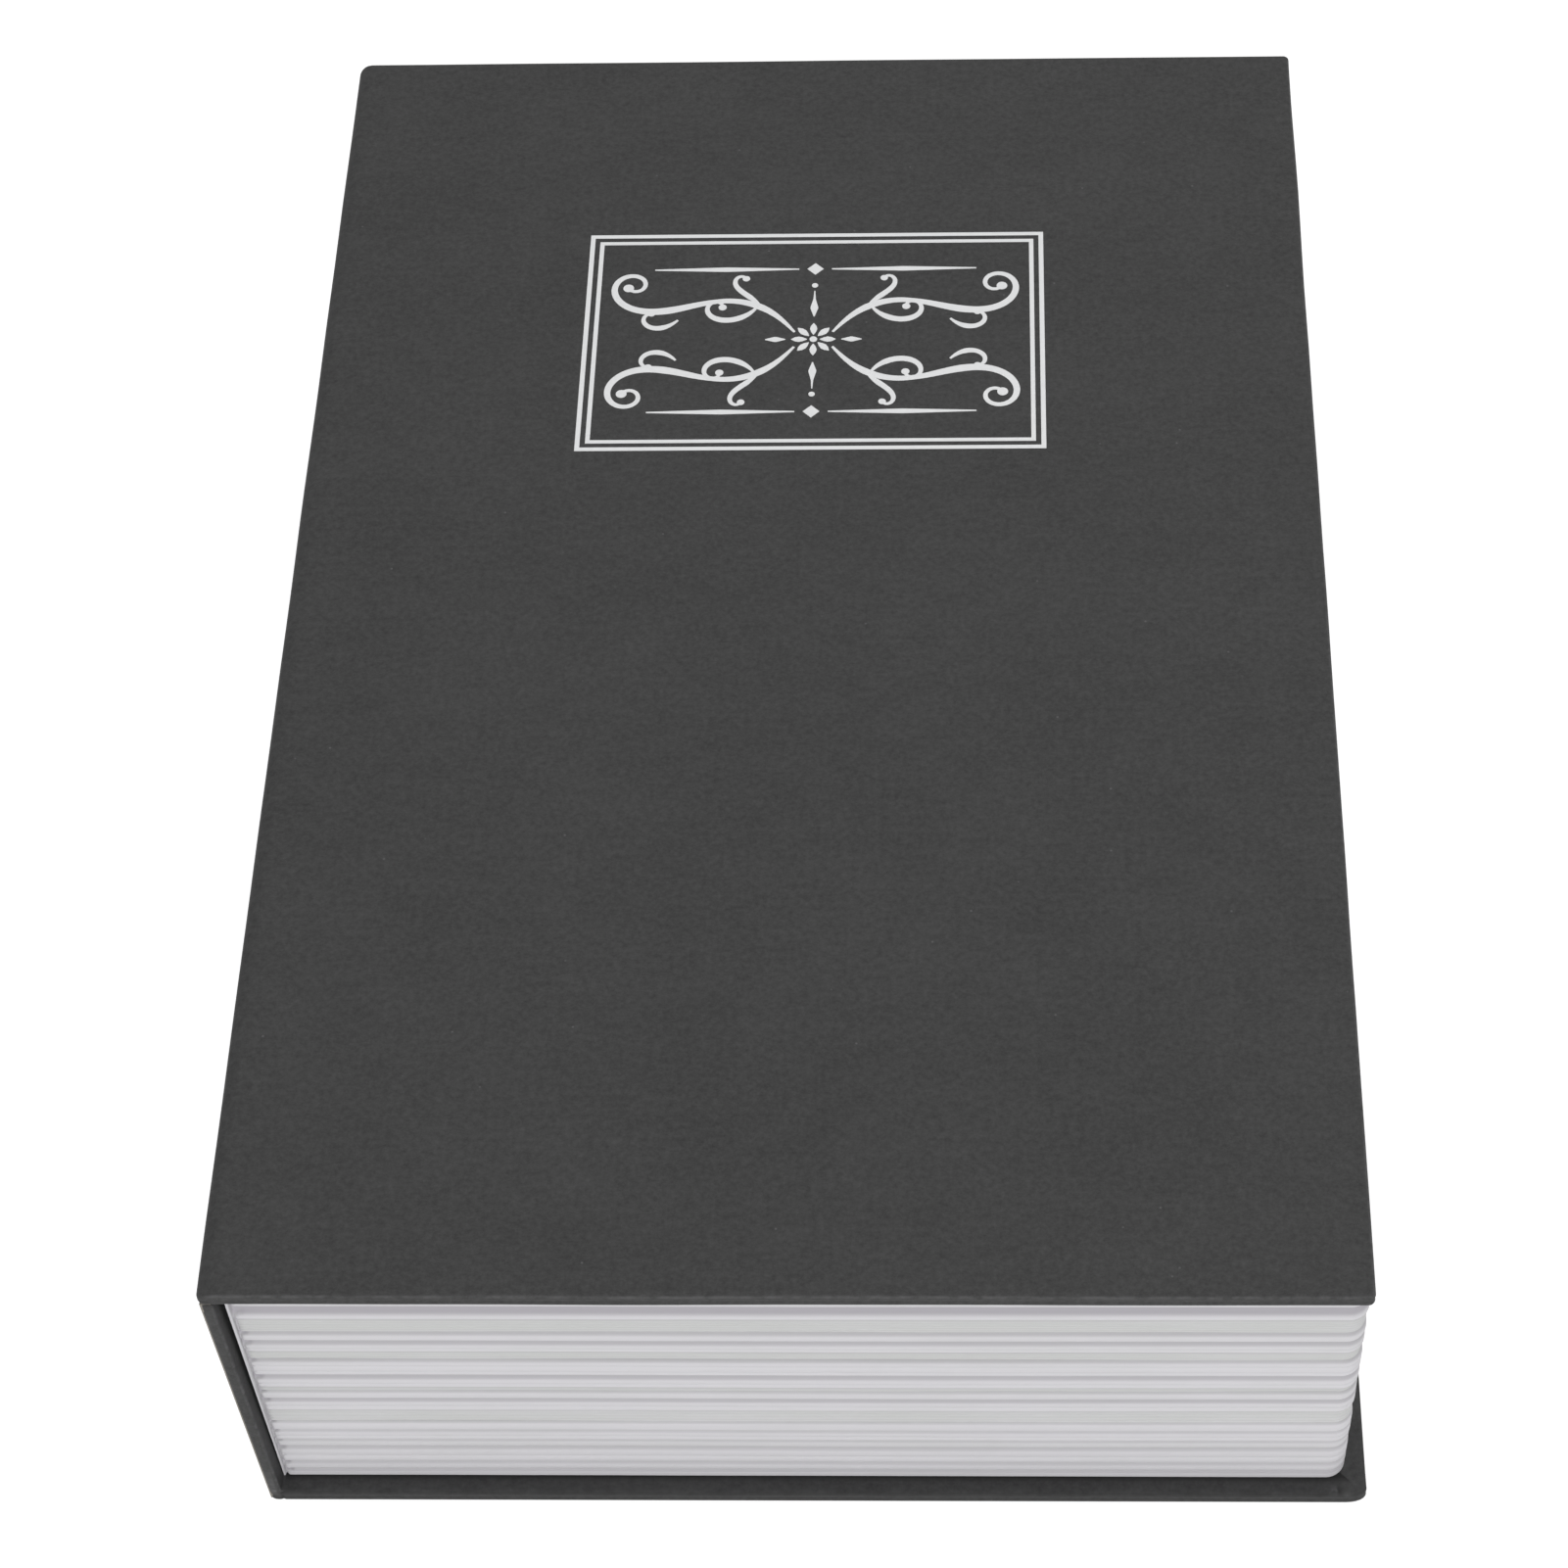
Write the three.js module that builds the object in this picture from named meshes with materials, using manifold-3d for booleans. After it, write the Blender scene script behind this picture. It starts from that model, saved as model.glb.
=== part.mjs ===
// Book diversion safe: a hardback book case round a moulded page block that hides a locking steel box.
// Sizes are in millimetres. +X runs from the spine to the fore-edge, +Y from the tail to the head, +Z up.
// The closed book lies on z = 0, with the origin under the middle of its outer size.
import * as THREE from 'three';
import { mergeVertices } from 'three/addons/utils/BufferGeometryUtils.js';
import Module from 'manifold-3d';

const wasm = await Module();
wasm.setup();

// Driving dimensions: the book case
const bookLength = 240; // tail to head
const coverWidth = 155; // spine to fore-edge, the same for both covers
const bookThickness = 55; // underside to the front cover's top
const spineLean = 2.4; // how far the front cover has slid towards the spine over the back cover
const boardThickness = 1.5; // grey board in the covers and the spine
const wrapThickness = 0.25; // printed paper glued round the boards
const glueLine = 0.05; // glue or bare contact between two pieces that lie against each other
const turnInWidth = 15; // paper folded over onto the inner faces of the boards
const foldRadius = 1.6; // rounding of the front cover along the spine
const hingeSlit = 0.3; // between the top edge of the spine board and the front cover
const hingeStripHeight = 2; // stretch of paper that bends when the cover opens, below the slit
const endpaperThickness = 0.2;
const endpaperMargin = 4; // bare turn-in left round the lining of the front cover
const endpaperHingeMargin = 1.2;

// Driving dimensions: the foil frame on the front cover
const titleFrameWidth = 72.6; // along X
const titleFrameHeight = 47.3; // along Y
const titleHeadMargin = 41.4; // from the head edge of the cover to the frame
const outerLineWidth = 0.75;
const innerLineWidth = 0.7;
const lineSpace = 0.825; // bare paper between the two lines
const foilThickness = 0.06;
const foilRecess = 0.03; // how far the stamped foil lies below the paper

// Driving dimensions: the page block
const footGap = 0.15; // between the spine and the foot of the block
const wedgeGap = 0.8; // between the spine and the top of the block
const foreInset = 2.3; // back cover standing out past the pages at the fore-edge
const endInset = 2.2; // covers standing out past the pages at head and tail
const mouldDraft = 0.6; // how much narrower each side is at the foot than at the top
const foreCornerRadius = 2.8;
const pageWall = 2;
const pageFloor = 2;
const closingGap = 0.3; // between the page block and the closed front cover
const spineFlange = 1.2; // smooth strip at the spine end of the page lines
const flangeRamp = 0.6; // run over which the page lines sink away at that strip
const grooveDepth = 0.45;
const grooveWidth = 0.7;
const ribThickness = 2; // upright ribs that hold the steel box centred
const ribHeight = 24;
const ribPlay = 0.3;

// Driving dimensions: the steel box and its lid
const sheet = 1;
const flangeWidth = 6; // inward rim that the lid comes down on
const lidRecess = 1.95; // lid below the top of the page block
const lidSeatGap = 0.3;
const skirtDepth = 7; // lid edge folded down outside the box
const skirtPlay = 0.5; // between that edge and the box
const skirtClearance = 0.8; // between that edge and the page block
const lidCornerRadius = 2.7;
const sharpestBend = 0.2; // inner radius left where a sheet is folded tight

// Driving dimensions: the lid hinge
const pinRadius = 1.5;
const pinPlay = 0.1;
const pinHeadOverhang = 0.5;
const pinHeadThickness = 0.8;
const leafThickness = 0.8;
const knuckleCount = 5;
const knuckleGap = 0.3;
const hingeEndMargin = 16; // from the end of the box to the end of the hinge
const boxLeafHeight = 15; // below the pin
const lidLeafWidth = 13; // beyond the side of the box
const lidOpenDegrees = 99;
const swingClearance = 0.5;

// Driving dimensions: rivets and screws
const rivetShankRadius = 1.4;
const rivetHeadRadius = 2.8;
const rivetHeadHeight = 0.8;
const rivetTailRadius = 2.2;
const rivetTailHeight = 0.5;
const fastenerPlay = 0.1;
const screwShankRadius = 1.4;
const screwHeadRadius = 3;
const screwHeadHeight = 1.7;
const screwPoint = 0.6; // length of the cone at the tip
const screwTipMargin = 0.4; // board left under the tip
const recessWidth = 0.8; // arms of the cross recess
const recessLength = 3;
const recessDepth = 1;
const boxScrewInset = 30; // from the inner faces of the box

// Driving dimensions: the lock
const lockInset = 22; // from the fore wall of the box to the lock's axis
const lockHeadRadius = 9.5;
const lockHeadHeight = 1.4;
const lockHeadChamfer = 0.5;
const lockBodyRadius = 8;
const lockBodyLength = 14; // below the top of the lid
const lockFlatDistance = 6.8; // axis to each flat that keeps the body from turning
const lockHolePlay = 0.15;
const plugRadius = 5.5;
const plugPlay = 0.1;
const plugRecess = 0.2; // face of the plug below the face of the head
const keywayLength = 8.4;
const keywayWidth = 2.4;
const keywayDepth = 13;
const washerRadius = 11.5;
const washerThickness = 0.8;
const nutAcrossFlats = 22;
const nutThickness = 3.5;
const camThickness = 2;
const camWidth = 14;
const camGap = 0.1; // between the lock body and the cam
const camThrow = 1.2; // how far the locked cam stands out past the box wall
const slotPlay = 0.5; // round the cam in the slot of the wall
const tenonWidth = 6.4; // square end of the plug that carries the cam
const tenonPlay = 0.1;
const camScrewRadius = 1.9;
const camScrewHeadRadius = 4;
const camScrewHeadHeight = 2.2;
const camScrewBite = 1.4; // thread above the foot of the plug

// Driving dimensions: the two keys
const keyThickness = 2;
const keyPlay = 0.4; // between the blade and the keyway
const bowRadius = 10;
const bowHoleRadius = 1.9;
const bowHoleInset = 3; // from the edge of the bow to the hole
const bitDepth = 1.1; // cuts along the blade
const keyWallMargin = 14; // from the walls of the box to the nearest key
const keySpacing = 26;
const shoulderLength = 1.5; // stop between the bow and the blade
const shoulderWidth = 1.5; // on each side of the blade

// Page groups from the foot up: [height of the group's top edge, set-back from the widest page],
// as shares of the block's height and of the groove depth.
const pageGroupShares = [
  [0.039, 0.35], [0.085, 0.15], [0.169, 0], [0.208, 0.2], [0.263, 0], [0.307, 0.05],
  [0.373, 0.4], [0.437, 0], [0.474, 0.05], [0.5, 0.5], [0.566, 0], [0.644, 0.05],
  [0.69, 0.5], [0.748, 0.05], [0.789, 0.15], [0.862, 0.45], [0.93, 0.3], [1, 0],
];
const ribShares = { sides: [-0.32, 0, 0.32], ends: [-0.28, 0.28] }; // of the block's length and width
const rivetShares = [-0.86, 0, 0.86]; // along each half of the hinge
const cutShares = [0.3, 0.5, 0.7, 0.86]; // cuts along the key blade
const bitShares = [1, 0.5, 0.8, 0.4]; // depth of each cut
const knuckleSides = 24;
const fastenerSides = 16;
const lockSides = 40;
const hexSides = 6;
const cornerSteps = 6;
const domeSteps = 3;
const overrun = 1; // how far a cutting solid runs past the face it cuts
const weldDistance = 0.0001;

// Shapes

function solidOf(geometry) {
  const bare = geometry.index ? geometry.toNonIndexed() : geometry.clone();
  bare.deleteAttribute('normal');
  bare.deleteAttribute('uv');
  const merged = mergeVertices(bare, weldDistance);
  return new wasm.Manifold(new wasm.Mesh({
    numProp: 3,
    vertProperties: merged.attributes.position.array,
    triVerts: new Uint32Array(merged.index.array),
  }));
}

function geometryOf(solid) {
  const mesh = solid.getMesh();
  const geometry = new THREE.BufferGeometry();
  geometry.setAttribute('position', new THREE.BufferAttribute(mesh.vertProperties, 3));
  geometry.setIndex(new THREE.BufferAttribute(mesh.triVerts, 1));
  return geometry;
}

function extruded(outline, depth, holes = []) {
  const points = (list) => list.map(([x, y]) => new THREE.Vector2(x, y));
  const shape = new THREE.Shape(points(outline));
  shape.holes = holes.map((hole) => new THREE.Path(points(hole)));
  return new THREE.ExtrudeGeometry(shape, { depth, bevelEnabled: false });
}

// A prism along Z from an outline in X and Y.
function prismZ(outline, low, high, holes = []) {
  return solidOf(extruded(outline, high - low, holes).translate(0, 0, low));
}

// A prism along Y from an outline in X and Z.
function prismY(outline, low, high) {
  return solidOf(extruded(outline, high - low).rotateX(Math.PI / 2).translate(0, high, 0));
}

function rectangle([left, right], [near, far]) {
  return [[left, near], [right, near], [right, far], [left, far]];
}

function block(x, y, [low, high]) {
  return prismZ(rectangle(x, y), low, high);
}

function arc([x, y], radius, from, to, steps) {
  return Array.from({ length: steps + 1 }, (_, step) => {
    const angle = from + ((to - from) * step) / steps;
    return [x + radius * Math.cos(angle), y + radius * Math.sin(angle)];
  });
}

// A rectangle with its own corner radius at the fore-edge and at the spine, as a list of points.
function roundedPlate([left, right], half, foreRadius, spineRadius = foreRadius) {
  const fore = Math.max(foreRadius, sharpestBend);
  const spine = Math.max(spineRadius, sharpestBend);
  const quarter = Math.PI / 2;
  return [
    ...arc([right - fore, fore - half], fore, -quarter, 0, cornerSteps),
    ...arc([right - fore, half - fore], fore, 0, quarter, cornerSteps),
    ...arc([left + spine, half - spine], spine, quarter, 2 * quarter, cornerSteps),
    ...arc([left + spine, spine - half], spine, 2 * quarter, 3 * quarter, cornerSteps),
  ];
}

// Turned solids: the profile of [radius, height] runs from the axis at the bottom to the axis at the top.
function lathe(profile, sides) {
  return new THREE.LatheGeometry(profile.map(([r, height]) => new THREE.Vector2(r, height)), sides);
}

function turnedX(profile, sides, [y, z]) {
  return solidOf(lathe(profile, sides).rotateZ(-Math.PI / 2).translate(0, y, z));
}

function turnedY(profile, sides, [x, z]) {
  return solidOf(lathe(profile, sides).translate(x, 0, z));
}

function turnedZ(profile, sides, [x, y] = [0, 0]) {
  return solidOf(lathe(profile, sides).rotateX(Math.PI / 2).translate(x, y, 0));
}

function cylinderProfile(radius, low, high) {
  return [[0, low], [radius, low], [radius, high], [0, high]];
}

// A hole is drawn a little larger, so that its flats and not its corners keep the clearance.
function holeRadius(radius, play, sides) {
  return (radius + play) / Math.cos(Math.PI / sides);
}

// Cutters for round holes: upright, and crosswise along X.
function bore(place, radius, play, [low, high], sides) {
  return turnedZ(cylinderProfile(holeRadius(radius, play, sides), low, high), sides, place);
}

function crossBore(place, radius, play, [low, high], sides) {
  return turnedX(cylinderProfile(holeRadius(radius, play, sides), low, high), sides, place);
}

// A closed skin through rings of points that run counter-clockwise seen from above, lowest ring first.
function loft(rings) {
  const count = rings[0].length;
  const last = (rings.length - 1) * count;
  const index = [];
  for (let ring = 0; ring < last; ring += count) {
    for (let point = 0; point < count; point += 1) {
      const next = (point + 1) % count;
      index.push(ring + point, ring + next, ring + count + next);
      index.push(ring + point, ring + count + next, ring + count + point);
    }
  }
  const plan = (ring) => ring.map(([x, y]) => new THREE.Vector2(x, y));
  for (const [a, b, c] of THREE.ShapeUtils.triangulateShape(plan(rings[0]), [])) {
    index.push(a, c, b);
  }
  for (const [a, b, c] of THREE.ShapeUtils.triangulateShape(plan(rings.at(-1)), [])) {
    index.push(last + a, last + b, last + c);
  }
  const geometry = new THREE.BufferGeometry();
  geometry.setAttribute('position', new THREE.Float32BufferAttribute(rings.flat(2), 3));
  geometry.setIndex(index);
  return solidOf(geometry);
}

// Materials

const materials = {
  coverPaper: new THREE.MeshStandardMaterial({ color: 0x424242, roughness: 0.85, metalness: 0 }),
  greyBoard: new THREE.MeshStandardMaterial({ color: 0x8f877a, roughness: 0.95, metalness: 0 }),
  lining: new THREE.MeshStandardMaterial({ color: 0x2b2b2b, roughness: 0.9, metalness: 0 }),
  foil: new THREE.MeshStandardMaterial({ color: 0xe4e4e2, roughness: 0.35, metalness: 0.6 }),
  pages: new THREE.MeshStandardMaterial({ color: 0xcfced1, roughness: 0.55, metalness: 0 }),
  blackSteel: new THREE.MeshStandardMaterial({ color: 0x1c1c1e, roughness: 0.5, metalness: 0.3 }),
  plated: new THREE.MeshStandardMaterial({ color: 0xb9bcc0, roughness: 0.3, metalness: 1 }),
  chrome: new THREE.MeshStandardMaterial({ color: 0xd5d7da, roughness: 0.15, metalness: 1 }),
};

const book = new THREE.Group();
const caseGroup = new THREE.Group();
const coverGroup = new THREE.Group();
const lidGroup = new THREE.Group();
const lockGroup = new THREE.Group();
const plugGroup = new THREE.Group();
book.add(caseGroup, coverGroup, lidGroup);
lidGroup.add(lockGroup);
lockGroup.add(plugGroup);

function addPart(group, name, solid, material) {
  const part = new THREE.Mesh(geometryOf(solid), material);
  part.name = name;
  group.add(part);
  return part;
}

// Places that several pieces share

const pocketDepth = boardThickness + 2 * glueLine;
const coverThickness = pocketDepth + 2 * wrapThickness;
const skin = wrapThickness + glueLine;
const halfLength = bookLength / 2;
const backLeft = (spineLean - coverWidth) / 2;
const backRight = backLeft + coverWidth;
const frontLeft = backLeft - spineLean;
const frontRight = frontLeft + coverWidth;
const frontUnderside = bookThickness - coverThickness;
const spineTop = frontUnderside - hingeSlit;
const pocketHalf = halfLength - wrapThickness;
const windowHalf = pocketHalf - turnInWidth;

// The leaning spine: x at a depth behind its outer face, at height z.
function spineX(depth, z) {
  return backLeft + depth - (spineLean * z) / frontUnderside;
}

function spineSlice([outer, inner], half, [low, high]) {
  const outline = [
    [spineX(outer, low), low],
    [spineX(inner, low), low],
    [spineX(inner, high), high],
    [spineX(outer, high), high],
  ];
  return prismY(outline, -half, half);
}

// The page block tapers from its top to its foot.
const blockBottom = coverThickness + glueLine;
const blockTop = frontUnderside - glueLine - endpaperThickness - closingGap;
const blockHeight = blockTop - blockBottom;
const blockFoot = spineX(coverThickness, blockBottom) + footGap;
const blockHead = spineX(coverThickness, blockTop) + wedgeGap;
const rise = (z) => (z - blockBottom) / blockHeight;
const blockLeft = (z) => blockFoot + (blockHead - blockFoot) * rise(z);
const blockRight = (z) => backRight - foreInset - mouldDraft * (1 - rise(z));
const blockHalf = (z) => halfLength - endInset - mouldDraft * (1 - rise(z));

// Lid, hinge and box follow from the inside of the page block.
const lidTop = blockTop - lidRecess;
const lidUnderside = lidTop - sheet;
const rimTop = lidUnderside - lidSeatGap;
const skirtBottom = lidUnderside - skirtDepth;
const leafTop = lidUnderside - glueLine;
const leafBottom = leafTop - leafThickness;
const knuckleRadius = pinRadius + pinPlay + leafThickness;
const hingeZ = leafTop - knuckleRadius;
const lidLeanBack = THREE.MathUtils.degToRad(lidOpenDegrees - 90);
const lidReachBehindPin = (lidTop - hingeZ) / Math.cos(lidLeanBack)
  + (blockTop - hingeZ) * Math.tan(lidLeanBack);
const hingeX = blockLeft(blockTop) + pageWall + lidReachBehindPin + swingClearance;
const boxLeft = hingeX + knuckleRadius + knuckleGap;
const lidRight = blockRight(skirtBottom) - pageWall - skirtClearance;
const lidHalf = blockHalf(skirtBottom) - pageWall - skirtClearance;
const boxRight = lidRight - sheet - skirtPlay;
const boxHalf = lidHalf - sheet - skirtPlay;
const boxCornerRadius = lidCornerRadius - sheet - skirtPlay;
const boxBottom = blockBottom + pageFloor + glueLine;
const boxFloor = boxBottom + sheet;
const hingeHalf = boxHalf - hingeEndMargin;
const lockX = boxRight - sheet - lockInset;
const camTop = lidTop - lockBodyLength - camGap;
const camBottom = camTop - camThickness;
const camReach = lockInset + sheet + camThrow;

// Fastener places
const screwX = (boxRight - boxLeft) / 2 - sheet - boxScrewInset;
const screwY = boxHalf - sheet - boxScrewInset;
const boxMiddle = (boxLeft + boxRight) / 2;
const screwPlaces = [-1, 1].flatMap((x) => [-1, 1].map((y) => [boxMiddle + x * screwX, y * screwY]));
const screwTip = skin + screwTipMargin;
const rivetPlaces = rivetShares.map((share) => share * hingeHalf);
const lidRivetX = boxLeft + sheet + (lidLeafWidth - sheet) / 2;
const boxRivetZ = hingeZ - knuckleRadius - (boxLeafHeight - knuckleRadius) / 2;

// Book case: boards and paper

const caseWrap = block([backLeft, backRight], [-halfLength, halfLength], [0, coverThickness])
  .add(spineSlice([0, coverThickness], halfLength, [0, spineTop]))
  .subtract(block([backLeft + skin + boardThickness / 2, backRight - wrapThickness],
    [-pocketHalf, pocketHalf], [wrapThickness, wrapThickness + pocketDepth]))
  .subtract(spineSlice([wrapThickness, wrapThickness + pocketDepth], pocketHalf,
    [wrapThickness, spineTop + overrun]))
  .subtract(block([backLeft + coverThickness, backRight - wrapThickness - turnInWidth],
    [-windowHalf, windowHalf], [skin + boardThickness / 2, coverThickness + overrun]))
  .subtract(spineSlice([skin + boardThickness / 2, coverThickness + overrun], windowHalf,
    [skin + boardThickness / 2, spineTop + overrun]))
  .subtract(spineSlice([-overrun, wrapThickness], halfLength + overrun,
    [spineTop - hingeStripHeight, spineTop + overrun]));
addPart(caseGroup, 'case_wrap', caseWrap, materials.coverPaper);

let backBoard = block([backLeft + skin + boardThickness + glueLine, backRight - skin],
  [glueLine - pocketHalf, pocketHalf - glueLine], [skin, skin + boardThickness]);
for (const place of screwPlaces) {
  backBoard = backBoard.subtract(bore(place, screwShankRadius, fastenerPlay,
    [screwTip - fastenerPlay, coverThickness], fastenerSides));
}
addPart(caseGroup, 'back_board', backBoard, materials.greyBoard);
addPart(caseGroup, 'spine_board',
  spineSlice([skin, skin + boardThickness], pocketHalf - glueLine, [skin, spineTop]), materials.greyBoard);
addPart(caseGroup, 'cover_hinge_strip', spineSlice([0, wrapThickness - glueLine], halfLength,
  [spineTop - hingeStripHeight + glueLine, frontUnderside - glueLine]), materials.coverPaper);

// The front cover's section, a distance inside its outer face, with the fold along the spine rounded.
function coverSection(inset) {
  const left = frontLeft + inset;
  const right = frontRight - inset;
  const bottom = frontUnderside + inset;
  const top = bookThickness - inset;
  const fold = Math.min(foldRadius, skin + boardThickness - sharpestBend) - inset;
  return [[left, bottom], [right, bottom], [right, top],
    ...arc([left + fold, top - fold], fold, Math.PI / 2, Math.PI, cornerSteps)];
}

// One line of the title frame as a flat ring, grown on both edges by the same amount.
const titleX = (frontLeft + frontRight) / 2;
const titleY = halfLength - titleHeadMargin - titleFrameHeight / 2;
function titleLine(inset, width, grow, [low, high]) {
  const edge = (distance) => rectangle(
    [titleX - titleFrameWidth / 2 + distance, titleX + titleFrameWidth / 2 - distance],
    [titleY - titleFrameHeight / 2 + distance, titleY + titleFrameHeight / 2 - distance],
  );
  return prismZ(edge(inset - grow), low, high, [edge(inset + width + grow)]);
}
const innerInset = outerLineWidth + lineSpace;
const foilTop = bookThickness - foilRecess;
const foilBottom = foilTop - foilThickness;
const grooveFloor = foilBottom - glueLine;

const frontWrap = prismY(coverSection(0), -halfLength, halfLength)
  .subtract(prismY(coverSection(wrapThickness), -pocketHalf, pocketHalf))
  .subtract(block([frontLeft + wrapThickness, frontRight - wrapThickness - turnInWidth],
    [-windowHalf, windowHalf], [frontUnderside - overrun, frontUnderside + skin + boardThickness / 2]))
  .subtract(titleLine(0, outerLineWidth, glueLine, [grooveFloor, bookThickness + overrun]))
  .subtract(titleLine(innerInset, innerLineWidth, glueLine, [grooveFloor, bookThickness + overrun]));
addPart(coverGroup, 'front_wrap', frontWrap, materials.coverPaper);
addPart(coverGroup, 'front_board',
  prismY(coverSection(skin), glueLine - pocketHalf, pocketHalf - glueLine), materials.greyBoard);
addPart(coverGroup, 'front_endpaper', block(
  [frontLeft + endpaperHingeMargin, frontRight - endpaperMargin],
  [endpaperMargin - halfLength, halfLength - endpaperMargin],
  [frontUnderside - glueLine - endpaperThickness, frontUnderside - glueLine],
), materials.lining);
addPart(coverGroup, 'title_line_outer',
  titleLine(0, outerLineWidth, 0, [foilBottom, foilTop]), materials.foil);
addPart(coverGroup, 'title_line_inner',
  titleLine(innerInset, innerLineWidth, 0, [foilBottom, foilTop]), materials.foil);

// Page block: one moulded tray whose three outer sides carry the page lines

// The outside at height z, set back from the widest page; the lines stop short of the spine.
function pageRing(z, setBack) {
  const left = blockLeft(z);
  const half = blockHalf(z);
  const side = half - setBack;
  const centreX = blockRight(z) - foreCornerRadius;
  const centreY = half - foreCornerRadius;
  const radius = foreCornerRadius - setBack;
  const linesStart = left + spineFlange + flangeRamp;
  const ring = [
    [left, -half], [left + spineFlange, -half], [linesStart, -side],
    ...arc([centreX, -centreY], radius, -Math.PI / 2, 0, cornerSteps),
    ...arc([centreX, centreY], radius, 0, Math.PI / 2, cornerSteps),
    [linesStart, side], [left + spineFlange, half], [left, half],
  ];
  return ring.map(([x, y]) => [x, y, z]);
}

function insideRing(z) {
  return roundedPlate([blockLeft(z) + pageWall, blockRight(z) - pageWall], blockHalf(z) - pageWall,
    foreCornerRadius - pageWall, sharpestBend).map(([x, y]) => [x, y, z]);
}

const pageRings = [];
let groupFoot = blockBottom;
pageGroupShares.forEach(([topShare, setBackShare], group) => {
  const groupTop = blockBottom + blockHeight * topShare;
  const lowest = group === 0;
  const highest = group === pageGroupShares.length - 1;
  const setBack = grooveDepth * setBackShare;
  pageRings.push(pageRing(lowest ? groupFoot : groupFoot + grooveWidth / 2, setBack));
  pageRings.push(pageRing(highest ? groupTop : groupTop - grooveWidth / 2, setBack));
  if (!highest) {
    pageRings.push(pageRing(groupTop, grooveDepth));
  }
  groupFoot = groupTop;
});

const trayFloor = blockBottom + pageFloor;
let pageBlock = loft(pageRings).subtract(loft([insideRing(trayFloor), insideRing(blockTop + overrun)]));
const ribHeights = [trayFloor - pageFloor / 2, trayFloor + ribHeight];
const ribMiddle = (ribHeights[0] + ribHeights[1]) / 2;
const ribWallX = [blockLeft(ribMiddle) + pageWall / 2, blockRight(ribMiddle) - pageWall / 2];
const ribWallY = blockHalf(ribMiddle) - pageWall / 2;
for (const share of ribShares.sides) {
  const along = [share * bookLength - ribThickness / 2, share * bookLength + ribThickness / 2];
  pageBlock = pageBlock
    .add(block([ribWallX[0], boxLeft - ribPlay], along, ribHeights))
    .add(block([boxRight + ribPlay, ribWallX[1]], along, ribHeights));
}
for (const share of ribShares.ends) {
  const along = [share * coverWidth - ribThickness / 2, share * coverWidth + ribThickness / 2];
  pageBlock = pageBlock
    .add(block(along, [-ribWallY, -boxHalf - ribPlay], ribHeights))
    .add(block(along, [boxHalf + ribPlay, ribWallY], ribHeights));
}
for (const place of screwPlaces) {
  pageBlock = pageBlock.subtract(bore(place, screwShankRadius, fastenerPlay,
    [blockBottom - overrun, trayFloor + overrun], fastenerSides));
}
addPart(caseGroup, 'page_block', pageBlock, materials.pages);

// Steel box: a folded tray with an inward rim, a notch for the hinge and a slot for the cam

const boxInset = sheet + flangeWidth;
const slotHalf = Math.sqrt(camReach ** 2 - lockInset ** 2) + slotPlay;
let steelBox = prismZ(roundedPlate([boxLeft, boxRight], boxHalf, boxCornerRadius), boxBottom, rimTop)
  .subtract(prismZ(roundedPlate([boxLeft + sheet, boxRight - sheet], boxHalf - sheet,
    boxCornerRadius - sheet), boxFloor, rimTop - sheet))
  .subtract(block([boxLeft + sheet, boxRight - boxInset], [boxInset - boxHalf, boxHalf - boxInset],
    [rimTop - sheet - overrun, rimTop + overrun]))
  .subtract(block([boxLeft - overrun, boxLeft + sheet + overrun],
    [-hingeHalf - overrun, hingeHalf + overrun], [leafBottom - knuckleGap, rimTop + overrun]))
  .subtract(block([boxRight - sheet - overrun, boxRight + overrun], [-slotHalf, slotHalf],
    [camBottom - slotPlay, camTop + slotPlay]));
for (const place of screwPlaces) {
  steelBox = steelBox.subtract(bore(place, screwShankRadius, fastenerPlay,
    [boxBottom - overrun, boxFloor + overrun], fastenerSides));
}
for (const y of rivetPlaces) {
  steelBox = steelBox.subtract(crossBore([y, boxRivetZ], rivetShankRadius, fastenerPlay,
    [boxLeft - overrun, boxLeft + sheet + overrun], fastenerSides));
}
addPart(caseGroup, 'steel_box', steelBox, materials.blackSteel);

// Lid: a plate with its edge folded down on three sides

let steelLid = prismZ(roundedPlate([boxLeft, lidRight], lidHalf, lidCornerRadius, sharpestBend),
  skirtBottom, lidTop)
  .subtract(prismZ(roundedPlate([boxLeft - overrun, lidRight - sheet], lidHalf - sheet,
    lidCornerRadius - sheet, sharpestBend), skirtBottom - overrun, lidUnderside));
for (const y of rivetPlaces) {
  steelLid = steelLid.subtract(bore([lidRivetX, y], rivetShankRadius, fastenerPlay,
    [lidUnderside - overrun, lidTop + overrun], fastenerSides));
}
steelLid = steelLid.subtract(
  bore([lockX, 0], lockBodyRadius, lockHolePlay, [lidUnderside - overrun, lidTop + overrun], lockSides)
    .intersect(block([lockX - lockHeadRadius, lockX + lockHeadRadius],
      [-lockFlatDistance - lockHolePlay, lockFlatDistance + lockHolePlay],
      [lidUnderside - overrun, lidTop + overrun])),
);
addPart(lidGroup, 'steel_lid', steelLid, materials.blackSteel);

// Hinge: two leaves with rolled knuckles on one pin

const knucklePitch = (2 * hingeHalf) / knuckleCount;
const pinBore = turnedY(cylinderProfile(holeRadius(pinRadius, pinPlay, knuckleSides),
  -hingeHalf - overrun, hingeHalf + overrun), knuckleSides, [hingeX, hingeZ]);

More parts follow.
